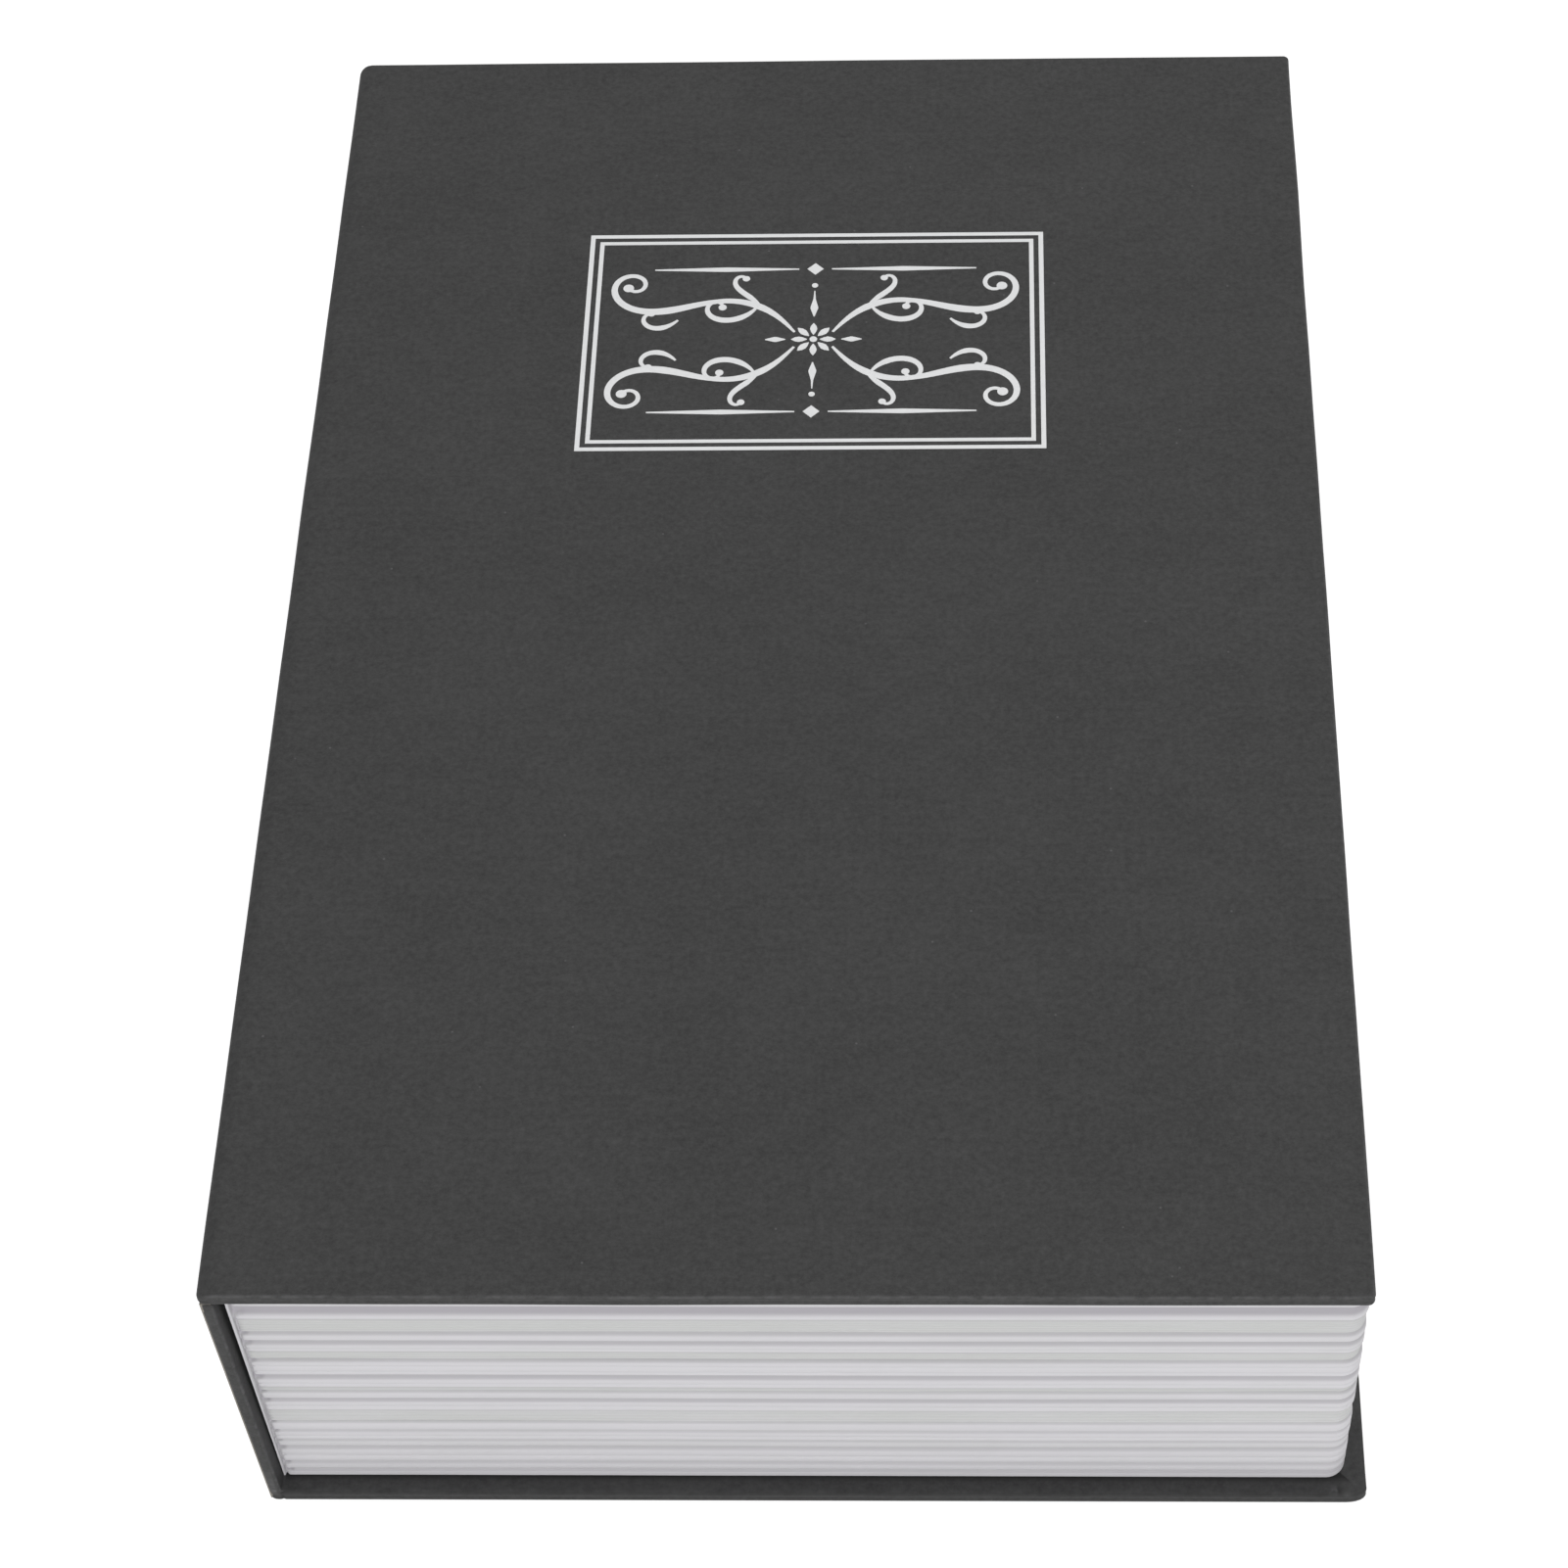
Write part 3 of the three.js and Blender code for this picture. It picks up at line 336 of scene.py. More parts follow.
# Each row goes to its height on the section, and each point of it in by its depth. The sections end in
# a shallow recess beside the flange, and each line drifts a little up and down along its way.
row_gap = BLOCK_HEIGHT / (len(profile) - 1)
corner_x = BLOCK_HIGH.x - CORNER_RADIUS
corner_y = BLOCK_HIGH.y - CORNER_RADIUS
set_backs = page_block.data.attributes.new("set_back", "FLOAT", "POINT")
painted_shades = page_block.data.attributes.new("shade", "FLOAT", "POINT")
for vertex in page_block.data.vertices:
    height, depth, shade = profile[round((vertex.co.z - BLOCK_LOW.z) / row_gap)]
    from_spine = vertex.co.x - BLOCK_LOW.x
    outwards = Vector((max(vertex.co.x - corner_x, 0), 0, 0))
    outwards.y = math.copysign(max(abs(vertex.co.y) - corner_y, 0), vertex.co.y)
    free_height = min(height, BLOCK_HEIGHT - height)
    drift = LINE_DRIFT * noise.noise(vertex.co / LINE_DRIFT_LENGTH) * smooth_step(free_height / DRIFT_FREE)
    change_place = Vector((vertex.co.x, vertex.co.y, DEPTH_CHANGE_RISE * height)) / DEPTH_CHANGE_LENGTH
    unevenness = 1 + DEPTH_CHANGE * noise.noise(change_place)
    flange = FLANGE_FOOT + (FLANGE_TOP - FLANGE_FOOT) * height / BLOCK_HEIGHT
    into_groove = smooth_step((from_spine - flange) / FLANGE_STEP)
    bar_start = flange + FLANGE_STEP + BAR_ROUND * shade
    onto_ridge = smooth_step((from_spine - bar_start) / RIDGE_END)
    end_depth = into_groove * min(FLANGE_GROOVE, END_DEPTH + depth)
    inwards = end_depth + (depth * unevenness - end_depth) * onto_ridge
    set_backs.data[vertex.index].value = inwards
    # Painted shade beside the flange: full in the recess, deeper where a shaded line meets it, then the
    # row's own painted shade along the bar.
    end_shade = into_groove * (END_SHADE + END_LINE_SHADE * shade)
    painted_shades.data[vertex.index].value = end_shade + (shade - end_shade) * onto_ridge
    vertex.co.z = BLOCK_LOW.z + height + drift
    if outwards.length > 0 and from_spine > flange:
        vertex.co -= outwards.normalized() * GROOVE_DEPTH * inwards

# The rim, the inner wall, the floor and the underside close the tray.
block_middle = (BLOCK_LOW + BLOCK_HIGH) / 2
inside_scale = (1 - 2 * TRAY_WALL / BLOCK_SIZE.x, 1 - 2 * TRAY_WALL / BLOCK_SIZE.y, 1)
pick(page_block, "EDGE", lambda a, b: near(a.z, BLOCK_HIGH.z) and near(b.z, BLOCK_HIGH.z))
bpy.ops.mesh.extrude_region_move()
bpy.ops.transform.resize(value=inside_scale, center_override=(block_middle.x, 0, BLOCK_HIGH.z))
bpy.ops.mesh.extrude_region_move(TRANSFORM_OT_translate={"value": (0, 0, TRAY_FLOOR - BLOCK_SIZE.z)})
bpy.ops.mesh.edge_face_add()
bpy.ops.object.mode_set(mode="OBJECT")
pick(page_block, "EDGE", lambda a, b: near(a.z, BLOCK_LOW.z) and near(b.z, BLOCK_LOW.z))
bpy.ops.mesh.edge_face_add()
bpy.ops.mesh.select_all(action="SELECT")
bpy.ops.mesh.normals_make_consistent(inside=False)
bpy.ops.object.mode_set(mode="OBJECT")

# The spine side leans over the foot, and the other three sides narrow towards it.
for vertex in page_block.data.vertices:
    below = 1 - (vertex.co.z - BLOCK_LOW.z) / BLOCK_SIZE.z
    towards_spine = (BLOCK_HIGH.x - vertex.co.x) / BLOCK_SIZE.x
    vertex.co.x += below * (towards_spine * BLOCK_LEAN - (1 - towards_spine) * BLOCK_DRAFT)
    vertex.co.y *= 1 - below * BLOCK_DRAFT / BLOCK_HIGH.y

# The ribs stand on the tray's floor, between its walls and the steel box: three on each long side and
# two at each end.
box_low, box_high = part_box("steel_box")
rib_low = BLOCK_LOW.z + TRAY_FLOOR / 2
rib_high = BLOCK_LOW.z + TRAY_FLOOR + RIB_HEIGHT
half_rib = RIB_THICKNESS / 2
spine_wall = BLOCK_LOW.x + BLOCK_LEAN + TRAY_WALL / 2
fore_wall = BLOCK_HIGH.x - BLOCK_DRAFT - TRAY_WALL / 2
end_wall = BLOCK_HIGH.y - BLOCK_DRAFT - TRAY_WALL / 2
ribs = []
for share in SIDE_RIB_SHARES:
    y = share * BOOK_LENGTH
    for start, end in ((spine_wall, box_low.x - RIB_PLAY), (box_high.x + RIB_PLAY, fore_wall)):
        ribs.append(cube_between("rib", (start, y - half_rib, rib_low), (end, y + half_rib, rib_high)))
for share in END_RIB_SHARES:
    x = share * COVER_WIDTH
    for start, end in ((-end_wall, box_low.y - RIB_PLAY), (box_high.y + RIB_PLAY, end_wall)):
        ribs.append(cube_between("rib", (x - half_rib, start, rib_low), (x + half_rib, end, rib_high)))
for rib in ribs:
    rib.select_set(True)
page_block.select_set(True)
bpy.context.view_layer.objects.active = page_block
bpy.ops.object.join()
shade_smoothly(page_block)


# Object coordinates, one unit for each grain size along X, Y and Z.
def grain_place(tree, sizes):
    place = wire(tree, "ShaderNodeTexCoord", {}).outputs["Object"]
    scale = [1 / (size * MM) for size in sizes]
    return wire(tree, "ShaderNodeMapping", {"Vector": place, "Scale": scale}).outputs[0]


# Noise from 0 to 1 whose grains have the given sizes in millimetres.
def grain(tree, sizes, detail=2.0, roughness=0.5):
    return wire(tree, "ShaderNodeTexNoise", {"Vector": grain_place(tree, sizes), "Scale": 1,
                                             "Detail": detail, "Roughness": roughness}).outputs["Fac"]


# A number that goes from one value to another while the given one goes from low to high.
def fade(tree, value, low, high, start, end):
    return wire(tree, "ShaderNodeMapRange", {"Value": value, "From Min": low, "From Max": high,
                                             "To Min": start, "To Max": end}).outputs[0]


# Noise keeps mostly inside a narrow range: this spreads that range from one value to another.
def spread(tree, value, start, end):
    return fade(tree, value, *NOISE_RANGE, start, end)


def sum_of(tree, *values):
    total = values[0]
    for value in values[1:]:
        total = wire(tree, "ShaderNodeMath", {0: total, 1: value}, operation="ADD").outputs[0]
    return total


def times(tree, first, second):
    return wire(tree, "ShaderNodeMath", {0: first, 1: second}, operation="MULTIPLY").outputs[0]


def blend_colours(tree, share, first, second):
    mixed = wire(tree, "ShaderNodeMix", {0: share, 6: first, 7: second}, data_type="RGBA")
    return mixed.outputs[2]


# A number that is stored with each point of the mesh.
def stored(tree, name):
    return wire(tree, "ShaderNodeAttribute", {}, attribute_name=name).outputs["Fac"]


# A bump whose height in metres is the given value times its depth in millimetres.
def bump(tree, height, depth, below=None):
    sockets = {"Height": height, "Distance": depth * MM, "Strength": 1}
    if below is not None:
        sockets["Normal"] = below
    return wire(tree, "ShaderNodeBump", sockets).outputs[0]


def finish_with(tree, output, sockets):
    shader = wire(tree, "ShaderNodeBsdfPrincipled", sockets).outputs[0]
    tree.links.new(shader, output.inputs["Surface"])


# Off-white plastic: slightly lilac on the lips that stand out, greyer where a section is set back, partly a
# tint and partly painted shade, darkened by painted shade in the dark lines, under the lips and beside
# the flange, and with the faint streaks of page edges along it.
PAGE_LIGHT = (0.615, 0.605, 0.63, 1)
PAGE_GREY_SHADED = (0.535, 0.54, 0.535, 1)
# Colour that the painted shade blends towards in the grooves, under the lips and beside the flange.
PAGE_SHADE_COLOUR = (0.385, 0.37, 0.40, 1)
PAGE_CLOUD = (16, 16, 5)
PAGE_STREAK = (22, 22, 0.3)
PAGE_FINE = (0.35, 0.35, 0.3)
SHADED_GREY_SET_BACK = 0.4
GREY_CLOUD = 0.15
FULL_SHADE = 1.1
STREAK_RELIEF = 0.012
FINE_RELIEF = 0.006
PAGE_ROUGHNESS = (0.48, 0.6)
page_plastic, tree, output = blank_material("page_plastic")
cloud = spread(tree, grain(tree, PAGE_CLOUD, 3), -GREY_CLOUD, GREY_CLOUD)
# Set-back sections blend towards the grey: partly a tint, partly painted shade.
share = sum_of(tree, fade(tree, stored(tree, "set_back"), 0, SHADED_GREY_SET_BACK, 0, 1), cloud)
colour = blend_colours(tree, share, PAGE_LIGHT, PAGE_GREY_SHADED)
colour = blend_colours(tree, fade(tree, stored(tree, "shade"), 0, FULL_SHADE, 0, 1), colour, PAGE_SHADE_COLOUR)
fine = grain(tree, PAGE_FINE, 2)
normal = bump(tree, fine, FINE_RELIEF, bump(tree, grain(tree, PAGE_STREAK, 2), STREAK_RELIEF))
finish_with(tree, output, {"Base Color": colour, "Roughness": spread(tree, fine, *PAGE_ROUGHNESS),
                           "Specular IOR Level": 0.4, "Normal": normal})
page_block.data.materials.append(page_plastic)
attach(page_block, "case")
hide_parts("page_block")

# Case paper: one sheet of dark printed paper, glued over the back board, on round the spine board and
# turned in over their edges. It is mitred at the two fore corners and open under the page block.
WRAP_LOW, WRAP_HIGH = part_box("case_wrap")
COVER_THICKNESS = 2.1 * MM
BACK_LEFT = -76.3 * MM
JOINT = BACK_LEFT + COVER_THICKNESS
BACK_LOW = Vector((BACK_LEFT, WRAP_LOW.y, 0))
BACK_HIGH = Vector((WRAP_HIGH.x, WRAP_HIGH.y, COVER_THICKNESS))
SPINE_SLIP = 2.4 * MM
SPINE_HEIGHT = 52.9 * MM
SPINE_LEAN = SPINE_SLIP / SPINE_HEIGHT
PAPER = 0.25 * MM
TURN_IN = 15 * MM
JOINT_FLAP = 2 * MM
EDGE_ROUND = 0.42 * MM
EDGE_STEPS = 3
FOLD_START = 50.62 * MM
FOLD_START_BAND = 1 * MM
PAPER_PITCH = 7 * MM
SPINE_ROWS = 7
EDGE_CUTS = (0.45, 0.8, 1.3, 2.0, 3.0, 4.5)
EDGE_WAVE = 0.12 * MM
EDGE_WAVE_LENGTH = 22 * MM
EDGE_WAVE_SEED = 5
EDGE_WAVE_REACH = 6 * MM
WAVE_FROM_JOINT = 1 * MM
WAVE_FROM_SPINE = 4 * MM
MITRE_STEP = 0.08 * MM
MITRE_WIDTH = 0.15 * MM
MITRE_START = 0.1 * MM
MITRE_CLEAR = 1.2 * MM
MITRE_FADE = 4 * MM
MITRE_BAND = 0.03 * MM
WEAR_REACH = 0.4 * MM
SHELTERED_WEAR_AND_LIGHT = 0.22
SHELTERED_SHADE = 0.5
EDGE_ROWS = (0.5, 0.75, 1.02, 1.3, 1.55)
EDGE_DIP = 0.13 * MM
DIP_BAND = 0.2 * MM
SPINE_CORNER = 1.3 * MM
FORE_CORNER = 1.35 * MM
FORE_STRETCH = 2.1
COVER_CORNER_STEPS = 6
JUST_OVER = 1.01
SHADED_FROM = 1.9 * MM
SHADED_TO = 2.7 * MM
JOINT_CREASE = 0.12 * MM
JOINT_REACH = 0.35 * MM
JOINT_CUT_SHARES = (-1, -0.4, 0.4, 1)
PLEAT = (74.4, -119.6, 2.1)
PLEAT_REACH = 1.6 * MM
PLEAT_HEIGHT = 0.65 * MM
PLEAT_CREST = 0.15 * MM
PLEAT_CUTS = (-1.4, -0.8, -0.4, 0, 0.35, 0.8, 1.5)


def places_across(low, high, pitch, margins):
    inner = [low + gap * MM for gap in margins] + [high - gap * MM for gap in margins]
    start, end = low + margins[-1] * MM, high - margins[-1] * MM
    count = max(int((end - start) / pitch), 1)
    return inner + [start + (end - start) * step / count for step in range(1, count)]


# How near a point is to an outer edge of a box: 1 on the edge, 0 from the given reach inwards.
def edge_nearness(place, low, high, reach):
    gaps = sorted(min(abs(place[axis] - low[axis]), abs(high[axis] - place[axis])) for axis in range(3))
    return max(0, 1 - gaps[1] / reach)


# Rounds the edges of a solid where its faces meet at more than the given angle.
def soften(piece, width, segments, angle=30):
    modifier = piece.modifiers.new("edges", "BEVEL")
    modifier.width = width
    modifier.segments = segments
    modifier.limit_method = "ANGLE"
    modifier.angle_limit = math.radians(angle)
    bpy.context.view_layer.objects.active = piece
    bpy.ops.object.modifier_apply(modifier="edges")


# Rounds the upright corners of a block along one of its sides, and stretches their rounding along X.
def round_corners(piece, side_x, radius, stretch=1):
    pick(piece, "EDGE", lambda a, b: near(a.x, side_x) and near(b.x, side_x) and near(a.y, b.y))
    bpy.ops.mesh.bevel(offset=radius, segments=COVER_CORNER_STEPS, affect="EDGES")
    bpy.ops.object.mode_set(mode="OBJECT")
    for vertex in piece.data.vertices:
        if abs(vertex.co.x - side_x) < radius * JUST_OVER:
            vertex.co.x = side_x + (vertex.co.x - side_x) * stretch


# Lets the paper sink a little between the two rounded edges of a board's end, most of all midway.
def dip_ends(piece, low, high):
    for vertex in piece.data.vertices:
        share = (vertex.co.z - low.z - EDGE_ROUND) / (high.z - low.z - 2 * EDGE_ROUND)
        if 0 < share < 1:
            dip = EDGE_DIP * 4 * share * (1 - share)
            if near(abs(vertex.co.y), high.y, DIP_BAND):
                vertex.co.y -= math.copysign(dip, vertex.co.y)
            if near(vertex.co.x, high.x, DIP_BAND):
                vertex.co.x -= dip


# Turns the outside of a piece into a wall of the paper's thickness.
def paper_wall(piece):
    modifier = piece.modifiers.new("paper", "SOLIDIFY")
    modifier.thickness = PAPER
    modifier.offset = -1
    modifier.use_even_offset = True
    bpy.context.view_layer.objects.active = piece
    bpy.ops.object.modifier_apply(modifier="paper")
    shade_smoothly(piece)


# Lays one turned-in flap over the other at a corner: a low step along the line of the mitre.
def mitre(piece, corner, inwards, face_side):
    inwards = Vector((inwards[0], inwards[1], 0))
    across = Vector((inwards.y, -inwards.x, 0)).normalized()
    for offset in (0, MITRE_WIDTH):
        pick(piece, "FACE", lambda middle, normal: normal.z * face_side > FACING
             and abs(middle.x - corner.x) < TURN_IN and abs(middle.y - corner.y) < TURN_IN)
        bpy.ops.mesh.bisect(plane_co=corner + across * offset, plane_no=across)
        bpy.ops.object.mode_set(mode="OBJECT")
    for vertex in piece.data.vertices:
        reach = vertex.co - corner
        furthest = max(abs(reach.x), abs(reach.y))
        on_flap = furthest < TURN_IN * JUST_OVER and near(vertex.co.z, corner.z, MITRE_BAND)
        if on_flap and reach.dot(across) > MITRE_START and reach.dot(inwards) > MITRE_CLEAR:
            vertex.co.z += face_side * MITRE_STEP * smooth_step((TURN_IN - furthest) / MITRE_FADE)


# The free edges of glued paper are never quite straight: they wander a little, most near the outside.
def wander(piece, low, high, is_free):
    noise.seed_set(EDGE_WAVE_SEED)
    for vertex in piece.data.vertices:
        share = edge_nearness(vertex.co, low, high, EDGE_WAVE_REACH) * is_free(vertex.co)
        drift = noise.noise_vector(vertex.co / EDGE_WAVE_LENGTH)
        vertex.co.x += EDGE_WAVE * share * drift.x
        vertex.co.y += EDGE_WAVE * share * drift.y


# How far in a point lies towards the page block, where painted shade darkens the paper: 0 at the rim of the
# cover.
def block_shade_share(place, high):
    gap = min(high.x - place.x, high.y - abs(place.y))
    return smooth_step((gap - SHADED_FROM) / (SHADED_TO - SHADED_FROM))


case_paper = cube_between("case_paper", BACK_LOW, BACK_HIGH)
cut_across(case_paper, 0, [JOINT])
spine_rise = WRAP_HIGH.z - COVER_THICKNESS
pick(case_paper, "FACE", lambda middle, normal: normal.z > FACING and middle.x < JOINT)
bpy.ops.mesh.extrude_region_move(TRANSFORM_OT_translate={"value": (0, 0, spine_rise)})
bpy.ops.object.mode_set(mode="OBJECT")
round_corners(case_paper, BACK_LEFT, SPINE_CORNER)
round_corners(case_paper, WRAP_HIGH.x, FORE_CORNER, FORE_STRETCH)
soften(case_paper, EDGE_ROUND, EDGE_STEPS)
window_low = (JOINT + JOINT_FLAP, WRAP_LOW.y + TURN_IN)
window_high = (WRAP_HIGH.x - TURN_IN, WRAP_HIGH.y - TURN_IN)
cut_across(case_paper, 0, [window_low[0], window_high[0]]
           + places_across(JOINT, WRAP_HIGH.x, PAPER_PITCH, EDGE_CUTS)
           + [(PLEAT[0] + step) * MM for step in PLEAT_CUTS]
           + [JOINT + JOINT_REACH * share for share in JOINT_CUT_SHARES])
cut_across(case_paper, 1, [window_low[1], window_high[1]]
           + places_across(WRAP_LOW.y, WRAP_HIGH.y, PAPER_PITCH, EDGE_CUTS))
cut_across(case_paper, 2, [FOLD_START, FOLD_START - FOLD_START_BAND] + [height * MM for height in EDGE_ROWS]
           + [COVER_THICKNESS + PAPER_PITCH * row for row in range(1, SPINE_ROWS)])
delete_faces(case_paper, lambda middle, normal: normal.z > FACING and near(middle.z, COVER_THICKNESS)
             and window_low[0] < middle.x < window_high[0] and window_low[1] < middle.y < window_high[1])
delete_faces(case_paper, lambda middle, normal: middle.z > FOLD_START and normal.x < -HALF_FACING)
for side in (-1, 1):
    mitre(case_paper, Vector((WRAP_HIGH.x, side * WRAP_HIGH.y, COVER_THICKNESS)), (-1, -side), 1)

# The paper is rubbed along its outer edges. Painted shade darkens it towards the page block, in the crease
# at the joint, up the back cover's end faces and on the far side of the pleat, whose crest gets a painted
# highlight. On the rim of the back cover, which the front cover shelters, it is rubbed less, and painted
# light brightens a broad band of its margin towards the rim.
spine_high = Vector((JOINT, WRAP_HIGH.y, WRAP_HIGH.z + COVER_THICKNESS))
wear_and_light = case_paper.data.attributes.new("wear_and_light", "FLOAT", "POINT")
painted_shade = case_paper.data.attributes.new("painted_shade", "FLOAT", "POINT")
for vertex in case_paper.data.vertices:
    # Painted shade on the back cover's top, deepening towards the page block.
    dark = block_shade_share(vertex.co, BACK_HIGH) if near(vertex.co.z, COVER_THICKNESS) else 0
    high, most, reach = BACK_HIGH, 1, WEAR_REACH
    if vertex.co.z > COVER_THICKNESS:
        high = spine_high
    elif vertex.co.x > JOINT:
        # On the back cover's margin the rim is rubbed less, and painted light brightens a broad band towards
        # the rim.
        if vertex.co.z > COVER_THICKNESS / 2:
            most, reach = SHELTERED_WEAR_AND_LIGHT, SHADED_FROM
        # Painted shade darkens the back cover's end faces towards their top edge.
        if vertex.co.z < COVER_THICKNESS - EDGE_ROUND / 10:
            dark = SHELTERED_SHADE * vertex.co.z / COVER_THICKNESS
    rubbed_and_lit = most * edge_nearness(vertex.co, BACK_LOW, high, reach)
    # At the joint the paper dents in, and painted shade darkens the crease.
    if vertex.co.z < COVER_THICKNESS and WRAP_HIGH.y - abs(vertex.co.y) < EDGE_ROUND:
        crease = smooth_step(1 - abs(vertex.co.x - JOINT) / JOINT_REACH)
        dark = max(dark, crease)
        vertex.co.y -= math.copysign(JOINT_CREASE * crease, vertex.co.y)
    if vertex.co.z > COVER_THICKNESS - EDGE_ROUND:
        from_pleat = vertex.co - Vector(PLEAT) * MM
        pleat = smooth_step(1 - from_pleat.length / PLEAT_REACH)
        vertex.co.z += PLEAT_HEIGHT * pleat
        # Painted highlight on the pleat's crest and near side, painted shade on its far side.
        if pleat > 0 and from_pleat.x < PLEAT_CREST:
            rubbed_and_lit = pleat
        elif pleat > 0:
            dark = pleat
    wear_and_light.data[vertex.index].value = rubbed_and_lit
    painted_shade.data[vertex.index].value = dark
dip_ends(case_paper, BACK_LOW, BACK_HIGH)
wander(case_paper, Vector((BACK_LEFT, WRAP_LOW.y, -1)), Vector((WRAP_HIGH.x, WRAP_HIGH.y, 1)),
       lambda place: place.z < COVER_THICKNESS + WAVE_FROM_JOINT and place.x > BACK_LEFT + WAVE_FROM_SPINE)
for vertex in case_paper.data.vertices:
    if vertex.co.x < JOINT + EDGE_ROUND:
        vertex.co.x -= SPINE_LEAN * vertex.co.z
paper_wall(case_paper)

# Dark printed paper: a fine mottle with softer clouds, fibres lying mostly across the book, a few tiny
# pale flecks, and a dry matt surface. Where it is creased over an edge, its print is rubbed and lighter;
# the same lighter colour paints light on the back cover's margin and the pleat's crest, and the stored
# painted shade blends it towards the shaded colour.
PAPER_DARK = (0.024, 0.024, 0.024, 1)
PAPER_LIGHT = (0.065, 0.065, 0.065, 1)
RUBBED_AND_LIT = (0.125, 0.125, 0.127, 1)
SHADED = (0.012, 0.012, 0.012, 1)
MOTTLE = (1.05, 1.0, 1.0)
MOTTLE_RANGE = (0.25, 0.75)
PAPER_DRIFT = (5, 3.6, 3.6)
PAPER_CLOUD = (26, 20, 20)
FIBRE = (0.55, 0.3, 0.3)
WEAR_PATCH = (2.2, 1.2, 1.2)
WEAR_PATCH_RANGE = (0.4, 0.62)
FLECK_PITCH = 5.6
FLECK_SHARES = (0.014, 0.04)
FLECK_STRENGTH = 0.7
MOTTLE_STRENGTH = 0.8
DRIFT_STRENGTH = 0.14
CLOUD_STRENGTH = 0.12
PATCH_LEAST = 0.1
MOTTLE_RELIEF = 0.03
FIBRE_RELIEF = 0.035
PAPER_ROUGHNESS = (0.62, 0.8)
cover_paper, tree, output = blank_material("cover_paper")
mottle = grain(tree, MOTTLE, 4, 0.75)
share = sum_of(tree, fade(tree, mottle, *MOTTLE_RANGE, 0, MOTTLE_STRENGTH),
               spread(tree, grain(tree, PAPER_DRIFT, 2), 0, DRIFT_STRENGTH),
               spread(tree, grain(tree, PAPER_CLOUD, 2), 0, CLOUD_STRENGTH))
colour = blend_colours(tree, share, PAPER_DARK, PAPER_LIGHT)
cells = wire(tree, "ShaderNodeTexVoronoi", {"Vector": grain_place(tree, (FLECK_PITCH,) * 3), "Scale": 1})
fleck = fade(tree, cells.outputs["Distance"], *FLECK_SHARES, FLECK_STRENGTH, 0)
colour = blend_colours(tree, fleck, colour, RUBBED_AND_LIT)
patches = fade(tree, grain(tree, WEAR_PATCH, 4, 0.7), *WEAR_PATCH_RANGE, PATCH_LEAST, 1)
# Rubbed print on the edges, and painted light on the back cover's margin and the pleat's crest.
colour = blend_colours(tree, times(tree, stored(tree, "wear_and_light"), patches), colour, RUBBED_AND_LIT)
# Painted shade towards the page block, in the joint's crease, up the back cover's end faces and beside the
# pleat.
colour = blend_colours(tree, stored(tree, "painted_shade"), colour, SHADED)
fibre = grain(tree, FIBRE, 3, 0.6)
normal = bump(tree, mottle, MOTTLE_RELIEF, bump(tree, fibre, FIBRE_RELIEF))
finish_with(tree, output, {"Base Color": colour, "Roughness": spread(tree, fibre, *PAPER_ROUGHNESS),
                           "Specular IOR Level": 0.25, "Normal": normal})
case_paper.data.materials.append(cover_paper)
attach(case_paper, "case")
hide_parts("case_wrap")

# Back board: grey board in the paper, cut with rounded corners at the fore edge and glued down flat.
# The spine board stands beside it; its CAD shape is right as it is and only takes the material.
BOARD_ROUND = 0.2 * MM
BOARD_DARK = (0.22, 0.205, 0.18, 1)
BOARD_LIGHT = (0.31, 0.29, 0.26, 1)
BOARD_PULP = (1.6, 1.6, 0.4)
PULP_RELIEF = 0.05


# Smooth shading whose flat faces stay flat right up to the rounding at their edges.
def shade_evenly(piece):
    shade_smoothly(piece)
    modifier = piece.modifiers.new("normals", "WEIGHTED_NORMAL")
    modifier.keep_sharp = True
    bpy.ops.object.modifier_apply(modifier="normals")


# Gives the mesh of a CAD node another material.
def dress(node, material):
    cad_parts[node].data.materials.clear()
    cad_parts[node].data.materials.append(material)


board_low, board_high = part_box("back_board")
back_board = cube_between("case_board", board_low, board_high)
round_corners(back_board, board_high.x, FORE_CORNER, FORE_STRETCH)
soften(back_board, BOARD_ROUND, 2)
shade_evenly(back_board)
grey_board, tree, output = blank_material("grey_board")
pulp = grain(tree, BOARD_PULP, 4, 0.6)
colour = blend_colours(tree, spread(tree, pulp, 0, 1), BOARD_DARK, BOARD_LIGHT)
finish_with(tree, output, {"Base Color": colour, "Roughness": 0.85, "Specular IOR Level": 0.25,
                           "Normal": bump(tree, pulp, PULP_RELIEF)})
back_board.data.materials.append(grey_board)
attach(back_board, "case")
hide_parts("back_board")
dress("spine_board", grey_board)

# Fold: the stretch of the same paper between the top of the spine and the front cover. It is the hinge
# of the cover: it stands flush with the spine's paper.
FOLD_TOP = 53.1 * MM
FOLD_BEND = (52.3 * MM, 52.9 * MM)
BEND_STEPS = 10
ROWS_BELOW_BEND = [51.4 * MM, 52.0 * MM]
ROW_ABOVE_BEND = 53.0 * MM
fold_paper = cube_between("fold_paper", (BACK_LEFT, WRAP_LOW.y + SPINE_CORNER, FOLD_START),
                          (BACK_LEFT + PAPER, WRAP_HIGH.y - SPINE_CORNER, FOLD_TOP))
cut_across(fold_paper, 1, places_across(WRAP_LOW.y, WRAP_HIGH.y, 2 * PAPER_PITCH, EDGE_CUTS))
bend_step = (FOLD_BEND[1] - FOLD_BEND[0]) / BEND_STEPS
bend_rows = [FOLD_BEND[0] + bend_step * row for row in range(BEND_STEPS + 1)]
cut_across(fold_paper, 2, ROWS_BELOW_BEND + bend_rows + [ROW_ABOVE_BEND])
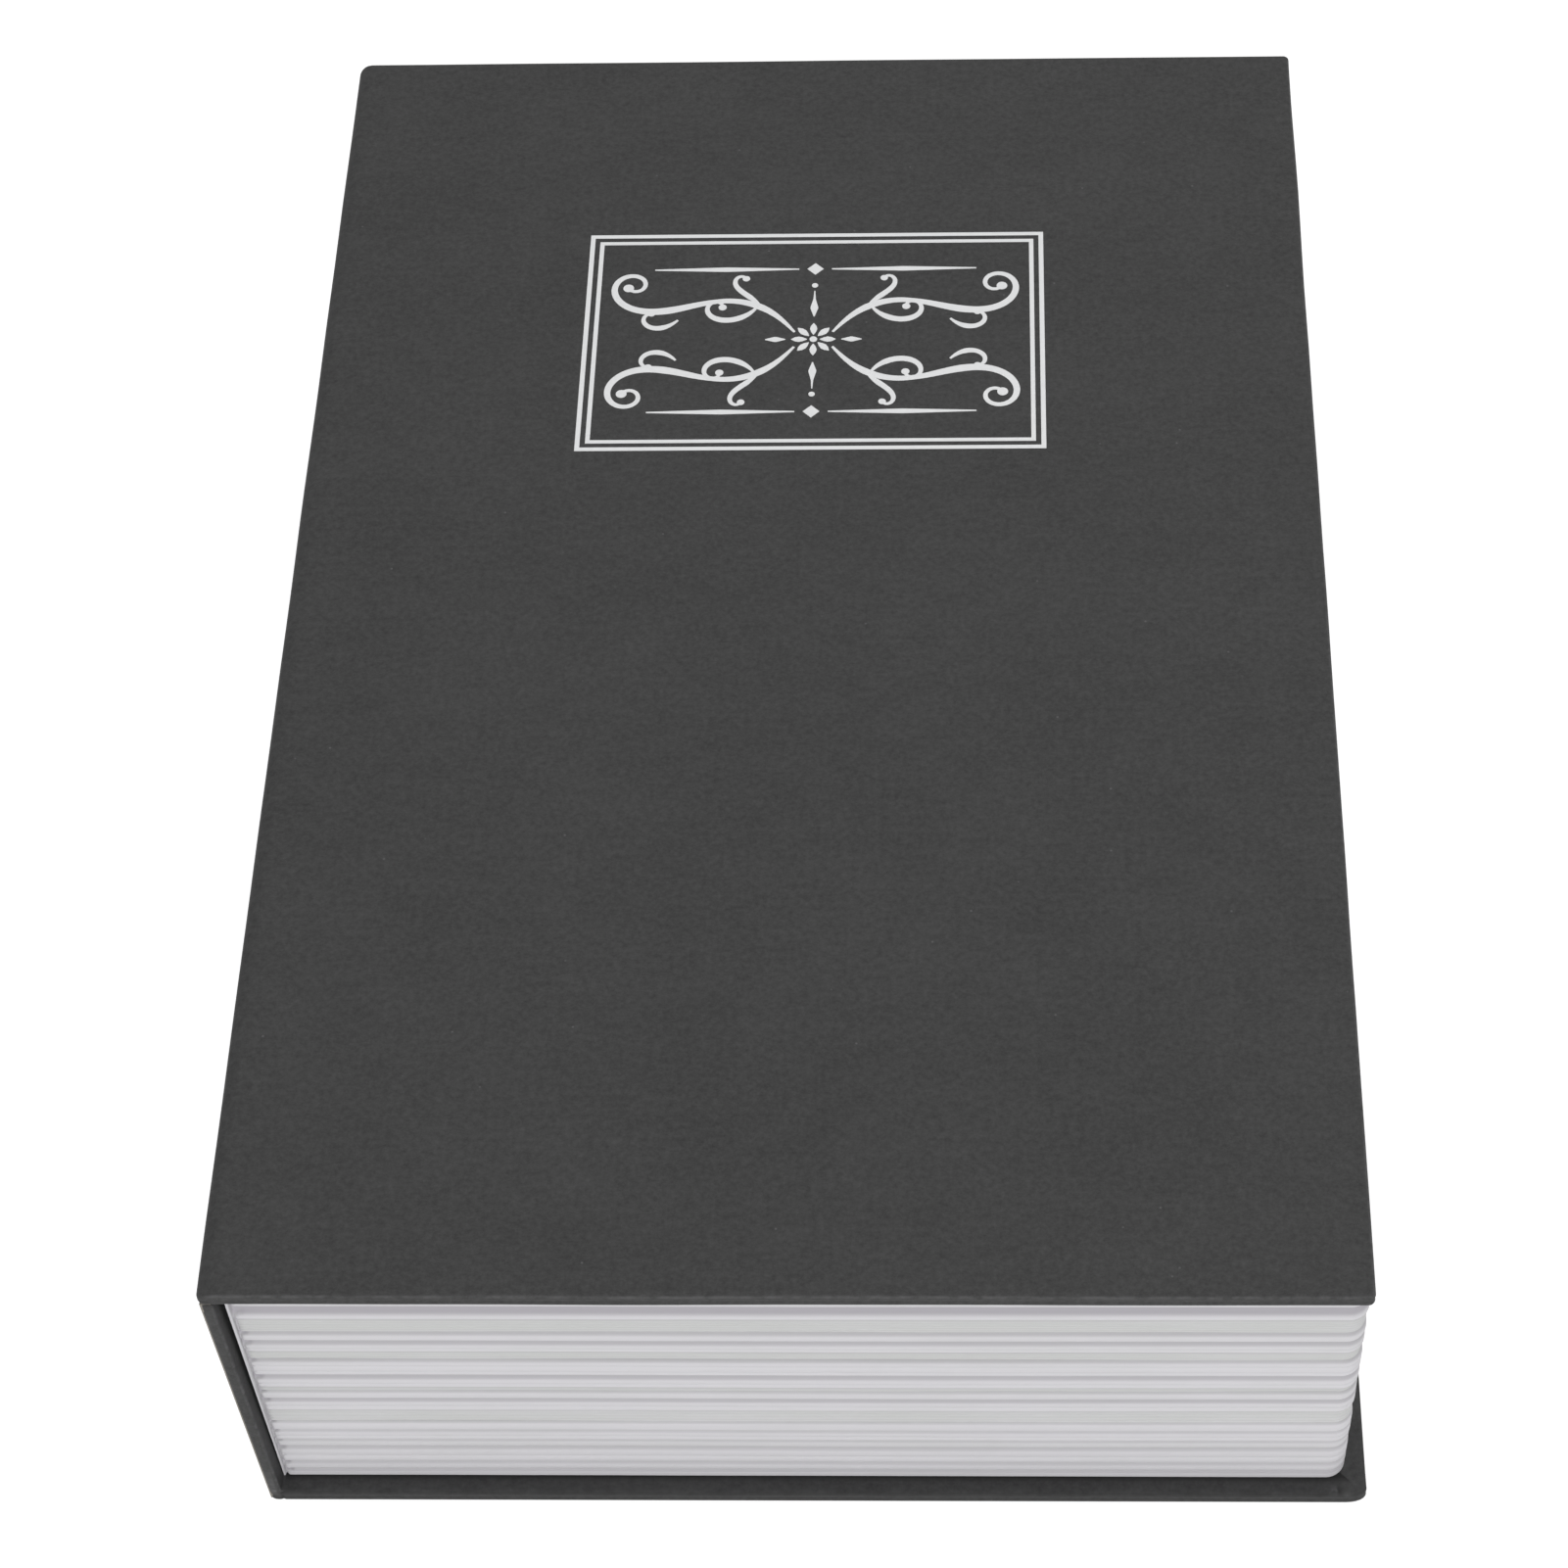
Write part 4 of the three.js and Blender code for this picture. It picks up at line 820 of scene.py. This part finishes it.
for vertex in fold_paper.data.vertices:
    vertex.co.x -= SPINE_LEAN * vertex.co.z
shade_smoothly(fold_paper)
fold_paper.data.materials.append(cover_paper)
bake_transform(fold_paper)
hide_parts("cover_hinge_strip")

# Front cover board: grey board cut with rounded corners, the stiff core of the front cover. Towards the
# spine its upper side falls off, because it is pressed where the paper rounds over it.
COVER_LOW = Vector((-78.7, -120, 52.9)) * MM
COVER_HIGH = Vector((76.3, 120, 54.95)) * MM
FRONT_FORE_CORNER = 0.9 * MM
FALL = 1.05 * MM
FALL_REACH = 2.3 * MM
FALL_CUTS = (0.8, 1.3, 1.8, 2.3)
BOARD_GAP = Vector((1, 1, 1)) * (0.3 * MM)


# A block with the rounded corners of a cover.
def cover_blank(name, low, high):
    piece = cube_between(name, low, high)
    round_corners(piece, low.x, SPINE_CORNER)
    round_corners(piece, high.x, FRONT_FORE_CORNER)
    return piece


# The upper side of the cover falls off towards the spine, as the paper rounds over the board's edge.
def fall_off(piece):
    for vertex in piece.data.vertices:
        share = max(0, 1 - (vertex.co.x - COVER_LOW.x) / FALL_REACH)
        kept = 1 - FALL * share * share / (COVER_HIGH.z - COVER_LOW.z)
        vertex.co.z = COVER_LOW.z + (vertex.co.z - COVER_LOW.z) * kept


cover_board = cover_blank("cover_board", COVER_LOW + BOARD_GAP, COVER_HIGH - BOARD_GAP)
soften(cover_board, BOARD_ROUND, 2)
cut_across(cover_board, 0, [COVER_LOW.x + gap * MM for gap in FALL_CUTS])
fall_off(cover_board)
shade_evenly(cover_board)
cover_board.data.materials.append(grey_board)
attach(cover_board, "cover")
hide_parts("front_board")

# Front cover paper: the same dark sheet as on the back, glued over the front board and turned in round
# all its edges, with mitres at the two fore corners. Its inside is open where the lining paper covers it.
front_paper = cover_blank("front_paper", COVER_LOW, COVER_HIGH)
soften(front_paper, EDGE_ROUND, EDGE_STEPS)
inside_low = COVER_LOW + Vector((TURN_IN, TURN_IN, 0))
inside_high = COVER_HIGH - Vector((TURN_IN, TURN_IN, 0))
cut_across(front_paper, 0, [inside_low.x, inside_high.x]
           + places_across(COVER_LOW.x, COVER_HIGH.x, PAPER_PITCH, EDGE_CUTS))
cut_across(front_paper, 1, [inside_low.y, inside_high.y]
           + places_across(COVER_LOW.y, COVER_HIGH.y, PAPER_PITCH, EDGE_CUTS))
cut_across(front_paper, 2, [COVER_LOW.z + height * MM for height in EDGE_ROWS])
delete_faces(front_paper, lambda middle, normal: normal.z < -FACING
             and inside_low.x < middle.x < inside_high.x and inside_low.y < middle.y < inside_high.y)
for side in (-1, 1):
    mitre(front_paper, Vector((COVER_HIGH.x, side * COVER_HIGH.y, COVER_LOW.z)), (-1, -side), -1)
wear_and_light = front_paper.data.attributes.new("wear_and_light", "FLOAT", "POINT")
for vertex in front_paper.data.vertices:
    wear_and_light.data[vertex.index].value = edge_nearness(vertex.co, COVER_LOW, COVER_HIGH, WEAR_REACH)
dip_ends(front_paper, COVER_LOW, COVER_HIGH)
wander(front_paper, COVER_LOW, COVER_HIGH, lambda place: True)
fall_off(front_paper)
paper_wall(front_paper)
front_paper.data.materials.append(cover_paper)
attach(front_paper, "cover")
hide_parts("front_wrap")

# Ornament: scrolls, leaves and short rules of silver foil, stamped on the cover inside the double frame.
# One quarter of the scrolls is drawn and mirrored across both middle lines; the rest lies on those lines.
FOIL_TOP = 54.972 * MM
FOIL_THICKNESS = 0.052 * MM
FOIL_COLOUR = (0.69, 0.695, 0.70, 1)
FOIL_PRESS = (0.8, 0.8, 0.8)
FOIL_RELIEF = 0.01
FOIL_ROUGHNESS = (0.42, 0.58)
STROKE_STEP = 0.35
STROKE_STEPS_LEAST = 8
STROKE_LIFT = 0.002 * MM
ROUND = 20
DIAMOND = 4
# Start, heading in degrees, length, curvature along it, widths along it and end dot, in millimetres.
SCROLLS = [
    ((3.0, 1.6), 55, 46, (-0.01, -0.085, -0.10, 0, 0.11, 0.22, 0.42, 0.80),
     (0.4, 1.3, 0.95, 1.45, 1.15, 0.85, 0.6), 0.85),
    ((8.6, 7.6), 52, 9.5, (-0.06, -0.06, 0.12, 0.6, 1.5), (0.35, 1.0, 0.95, 0.7, 0.5), 0.6),
    ((9.0, 7.4), -66, 14.5, (0.20, 0.16, 0.26, 0.55, 1.1), (0.35, 1.1, 1.1, 0.7, 0.5), 0.65),
    ((21.5, 4.4), -50, 9, (0.10, 0.28, 0.5, 0.9), (0.35, 1.05, 0.8, 0.5), 0.6),
    ((2.6, 15.6), 0, 23, (0, 0), (0.25, 1.0, 0.25), 0),
]
# On the middle lines: distance from the middle, heading, length and widths along it.
RAYS = [
    (4.4, 0, 3.2, (0.15, 1.2, 0.15)), (4.4, 180, 3.2, (0.15, 1.2, 0.15)),
    (5.0, 90, 5.7, (0.15, 1.3, 0.4, 0.15)), (5.0, 270, 5.7, (0.15, 1.3, 0.4, 0.15)),
]
PETALS = 8
PETAL_START = 1.0
PETAL_LENGTH = 2.5
PETAL_WIDTHS = (0.1, 0.8, 1.15, 0.9, 0.1)
DOTS = [  # place, radius and number of corners
    ((0, 0), 0.6, ROUND), ((0, 11.9), 0.5, ROUND), ((0, -11.9), 0.5, ROUND),
    ((0, 15.6), 1.3, DIAMOND), ((0, -15.6), 1.3, DIAMOND),
]


# The value at a share of the way along a list of even steps.
def value_along(values, share):
    place = share * (len(values) - 1)
    first = min(int(place), len(values) - 2)
    return values[first] + (values[first + 1] - values[first]) * (place - first)


# A flat stroke: a strip of quads that follows a line of changing curvature with changing width.
def stroke(start, heading, length, bends, widths):
    steps = max(int(length / STROKE_STEP), STROKE_STEPS_LEAST)
    bpy.ops.mesh.primitive_grid_add(x_subdivisions=steps, y_subdivisions=1, size=1)
    strip = bpy.context.object
    x, y = start
    angle = math.radians(heading)
    line = [(x, y, angle)]
    for step in range(steps):
        angle += value_along(bends, (step + 0.5) / steps) * length / steps
        x += math.cos(angle) * length / steps
        y += math.sin(angle) * length / steps
        line.append((x, y, angle))
    for vertex in strip.data.vertices:
        share = vertex.co.x + 0.5
        x, y, angle = line[round(share * steps)]
        half = math.copysign(value_along(widths, share) / 2, vertex.co.y)
        vertex.co = Vector((x - half * math.sin(angle), y + half * math.cos(angle), 0)) * MM
    return strip, (x, y)


def dot(place, radius, corners):
    bpy.ops.mesh.primitive_circle_add(vertices=corners, radius=radius * MM, fill_type="NGON",
                                      location=(place[0] * MM, place[1] * MM, 0))
    return bpy.context.object


# Joins flat pieces, each lifted a little above the one before, so that no two lie in one plane.
def joined(pieces, name):
    for number, piece in enumerate(pieces):
        piece.location.z += number * STROKE_LIFT
    bpy.ops.object.select_all(action="DESELECT")
    for piece in pieces:
        piece.select_set(True)
    bpy.context.view_layer.objects.active = pieces[0]
    bpy.ops.object.join()
    bpy.ops.object.transform_apply(location=True, rotation=True, scale=True)
    bpy.context.object.name = name
    return bpy.context.object


foil_pieces = []
for start, heading, length, bends, widths, end_dot in SCROLLS:
    strip, end = stroke(start, heading, length, bends, widths)
    foil_pieces.append(strip)
    if end_dot:
        foil_pieces.append(dot(end, end_dot, ROUND))
scrolls = joined(foil_pieces, "scrolls")
mirror = scrolls.modifiers.new("quarters", "MIRROR")
mirror.use_axis = (True, True, False)
bpy.ops.object.modifier_apply(modifier="quarters")
foil_pieces = [scrolls]
petals = [(PETAL_START, 360 * number / PETALS, PETAL_LENGTH, PETAL_WIDTHS) for number in range(PETALS)]
for distance, heading, length, widths in RAYS + petals:
    aim = math.radians(heading)
    start = (distance * math.cos(aim), distance * math.sin(aim))
    foil_pieces.append(stroke(start, heading, length, (0, 0), widths)[0])
for place, radius, corners in DOTS:
    foil_pieces.append(dot(place, radius, corners))
ornament = joined(foil_pieces, "foil_ornament")
bpy.ops.object.mode_set(mode="EDIT")
bpy.ops.mesh.select_all(action="SELECT")
bpy.ops.mesh.normals_make_consistent(inside=False)
bpy.ops.object.mode_set(mode="OBJECT")
for face in ornament.data.polygons:
    if face.normal.z < 0:
        face.flip()
foil = ornament.modifiers.new("foil", "SOLIDIFY")
foil.thickness = FOIL_THICKNESS
foil.offset = -1
bpy.ops.object.modifier_apply(modifier="foil")
line_low, line_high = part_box("title_line_outer")
line_middle = (line_low + line_high) / 2
for vertex in ornament.data.vertices:
    vertex.co += Vector((line_middle.x, line_middle.y, FOIL_TOP))
title_foil, tree, output = blank_material("title_foil")
press = grain(tree, FOIL_PRESS, 3, 0.6)
finish_with(tree, output, {"Base Color": FOIL_COLOUR, "Metallic": 0.35,
                           "Roughness": spread(tree, press, *FOIL_ROUGHNESS),
                           "Normal": bump(tree, press, FOIL_RELIEF)})
ornament.data.materials.append(title_foil)
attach(ornament, "cover")
dress("title_line_outer", title_foil)
dress("title_line_inner", title_foil)

# Steel box and lid: sheet steel, cut and folded, then powder-coated black. The box is screwed down in the
# tray and the lid hangs on its hinge. Their edges are broken by a small bevel.
SHEET_EDGE = 0.18 * MM
MERGE_GAP = 0.002 * MM
FLAT_WITHIN = math.radians(0.5)
SHARP_ABOVE = 40
DEGENERATE_BELOW = 0.001 * MM
STEEL_BLACK = (0.016, 0.016, 0.018, 1)
COATING_PEEL = (0.7, 0.7, 0.7)
PEEL_RELIEF = 0.02
COATING_CLOUD = (9, 9, 9)
COATING_ROUGHNESS = (0.38, 0.48)


# A copy of a CAD node for the eye: faces merged, hard edges rounded, flat faces shaded flat.
def finished_copy(name, node, edge, segments, body, material):
    piece = bpy.data.objects.new(name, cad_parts[node].data.copy())
    bpy.context.collection.objects.link(piece)
    bpy.ops.object.select_all(action="DESELECT")
    piece.select_set(True)
    bpy.context.view_layer.objects.active = piece
    bpy.ops.object.mode_set(mode="EDIT")
    bpy.ops.mesh.select_all(action="SELECT")
    bpy.ops.mesh.remove_doubles(threshold=MERGE_GAP)
    bpy.ops.mesh.dissolve_limited(angle_limit=FLAT_WITHIN)
    bpy.ops.object.mode_set(mode="OBJECT")
    soften(piece, edge, segments, SHARP_ABOVE)
    bpy.ops.object.mode_set(mode="EDIT")
    bpy.ops.mesh.select_all(action="SELECT")
    bpy.ops.mesh.dissolve_degenerate(threshold=DEGENERATE_BELOW)
    bpy.ops.object.mode_set(mode="OBJECT")
    shade_evenly(piece)
    piece.data.materials.clear()
    piece.data.materials.append(material)
    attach(piece, body)
    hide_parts(node)


black_steel, tree, output = blank_material("black_steel")
coating_roughness = spread(tree, grain(tree, COATING_CLOUD, 3), *COATING_ROUGHNESS)
finish_with(tree, output, {"Base Color": STEEL_BLACK, "Roughness": coating_roughness,
                           "Normal": bump(tree, grain(tree, COATING_PEEL, 2, 0.5), PEEL_RELIEF)})
finished_copy("steel_box_coated", "steel_box", SHEET_EDGE, 2, "case", black_steel)
finished_copy("steel_lid_coated", "steel_lid", SHEET_EDGE, 2, "lid", black_steel)

# Piano hinge: two leaves of plated sheet with rolled knuckles turn on one pin with headed ends. Three
# rivets hold each leaf, one leaf to the box and the other to the lid.
LEAF_EDGE = 0.1 * MM
SMALL_EDGE = 0.12 * MM
PLATE_COLOUR = (0.55, 0.56, 0.58, 1)
PLATE_BRUSH = (0.25, 6, 0.25)
PLATE_CLOUD = (5, 5, 5)
PLATE_ROUGHNESS = (0.28, 0.33)
BRUSH_ROUGHNESS = (-0.02, 0.03)
BRUSH_RELIEF = 0.0015
LEAF_RIVETS = ("leaf_rivet_1", "leaf_rivet_2", "leaf_rivet_3")
plated_steel, tree, output = blank_material("plated_steel")
brushed = grain(tree, PLATE_BRUSH, 3, 0.6)
plate_roughness = sum_of(tree, spread(tree, grain(tree, PLATE_CLOUD, 3), *PLATE_ROUGHNESS),
                         spread(tree, brushed, *BRUSH_ROUGHNESS))
finish_with(tree, output, {"Base Color": PLATE_COLOUR, "Metallic": 1, "Roughness": plate_roughness,
                           "Normal": bump(tree, brushed, BRUSH_RELIEF)})


def plated_copy(name, node, edge, segments, body):
    finished_copy(name, node, edge, segments, body, plated_steel)


plated_copy("box_leaf", "box_hinge_leaf", LEAF_EDGE, 2, "case")
plated_copy("lid_leaf", "lid_hinge_leaf", LEAF_EDGE, 2, "lid")
plated_copy("pin", "hinge_pin", LEAF_EDGE, 2, "case")
for rivet in LEAF_RIVETS:
    plated_copy("box_" + rivet + "_plated", "box_" + rivet, SMALL_EDGE, 3, "case")
    plated_copy("lid_" + rivet + "_plated", "lid_" + rivet, SMALL_EDGE, 3, "lid")

# Box screws: four plated pan-head screws. They go down through the floor of the box and of the tray
# into the back board, and hold all three together.
for number in (1, 2, 3, 4):
    plated_copy(f"floor_screw_{number}", f"box_screw_{number}", SMALL_EDGE, 3, "case")

# Lock: a chromed body with a turning plug, set in the lid from outside. A washer and a nut hold it
# behind the sheet, and a screw holds the cam on the end of the plug.
HEAD_EDGE = 0.25 * MM
NUT_EDGE = 0.2 * MM
CHROME_COLOUR = (0.75, 0.76, 0.78, 1)
CHROME_HAZE = (2, 2, 2)
CHROME_ROUGHNESS = (0.1, 0.18)
lock_chrome, tree, output = blank_material("lock_chrome")
haze = spread(tree, grain(tree, CHROME_HAZE, 3), *CHROME_ROUGHNESS)
finish_with(tree, output, {"Base Color": CHROME_COLOUR, "Metallic": 1, "Roughness": haze})
finished_copy("lock_barrel", "lock_body", HEAD_EDGE, 3, "lid", lock_chrome)
finished_copy("key_plug", "lock_plug", SMALL_EDGE, 2, "plug", lock_chrome)
plated_copy("washer", "lock_washer", LEAF_EDGE, 2, "lid")
plated_copy("nut", "lock_nut", NUT_EDGE, 2, "lid")
plated_copy("cam", "lock_cam", SMALL_EDGE, 2, "plug")
plated_copy("cam_fixing_screw", "cam_screw", SMALL_EDGE, 2, "plug")

# Keys: two alike, stamped from flat sheet steel and plated, bow and blade in one piece. They lie loose
# on the floor of the box.
KEY_EDGE = 0.15 * MM
for number in (1, 2):
    plated_copy(f"key_{number}_plated", f"key_{number}", KEY_EDGE, 2, "case")

# Front endpaper: a dark sheet pasted on the inside of the front cover, over the turned-in paper. Its
# CAD shape is right as it is and only takes the material.
LINING_COLOUR = (0.03, 0.03, 0.03, 1)
LINING_GRAIN = (0.4, 0.4, 0.4)
LINING_RELIEF = 0.03
LINING_ROUGHNESS = (0.7, 0.85)
lining_paper, tree, output = blank_material("lining_paper")
weave = grain(tree, LINING_GRAIN, 3, 0.6)
finish_with(tree, output, {"Base Color": LINING_COLOUR, "Roughness": spread(tree, weave, *LINING_ROUGHNESS),
                           "Specular IOR Level": 0.3, "Normal": bump(tree, weave, LINING_RELIEF)})
dress("front_endpaper", lining_paper)
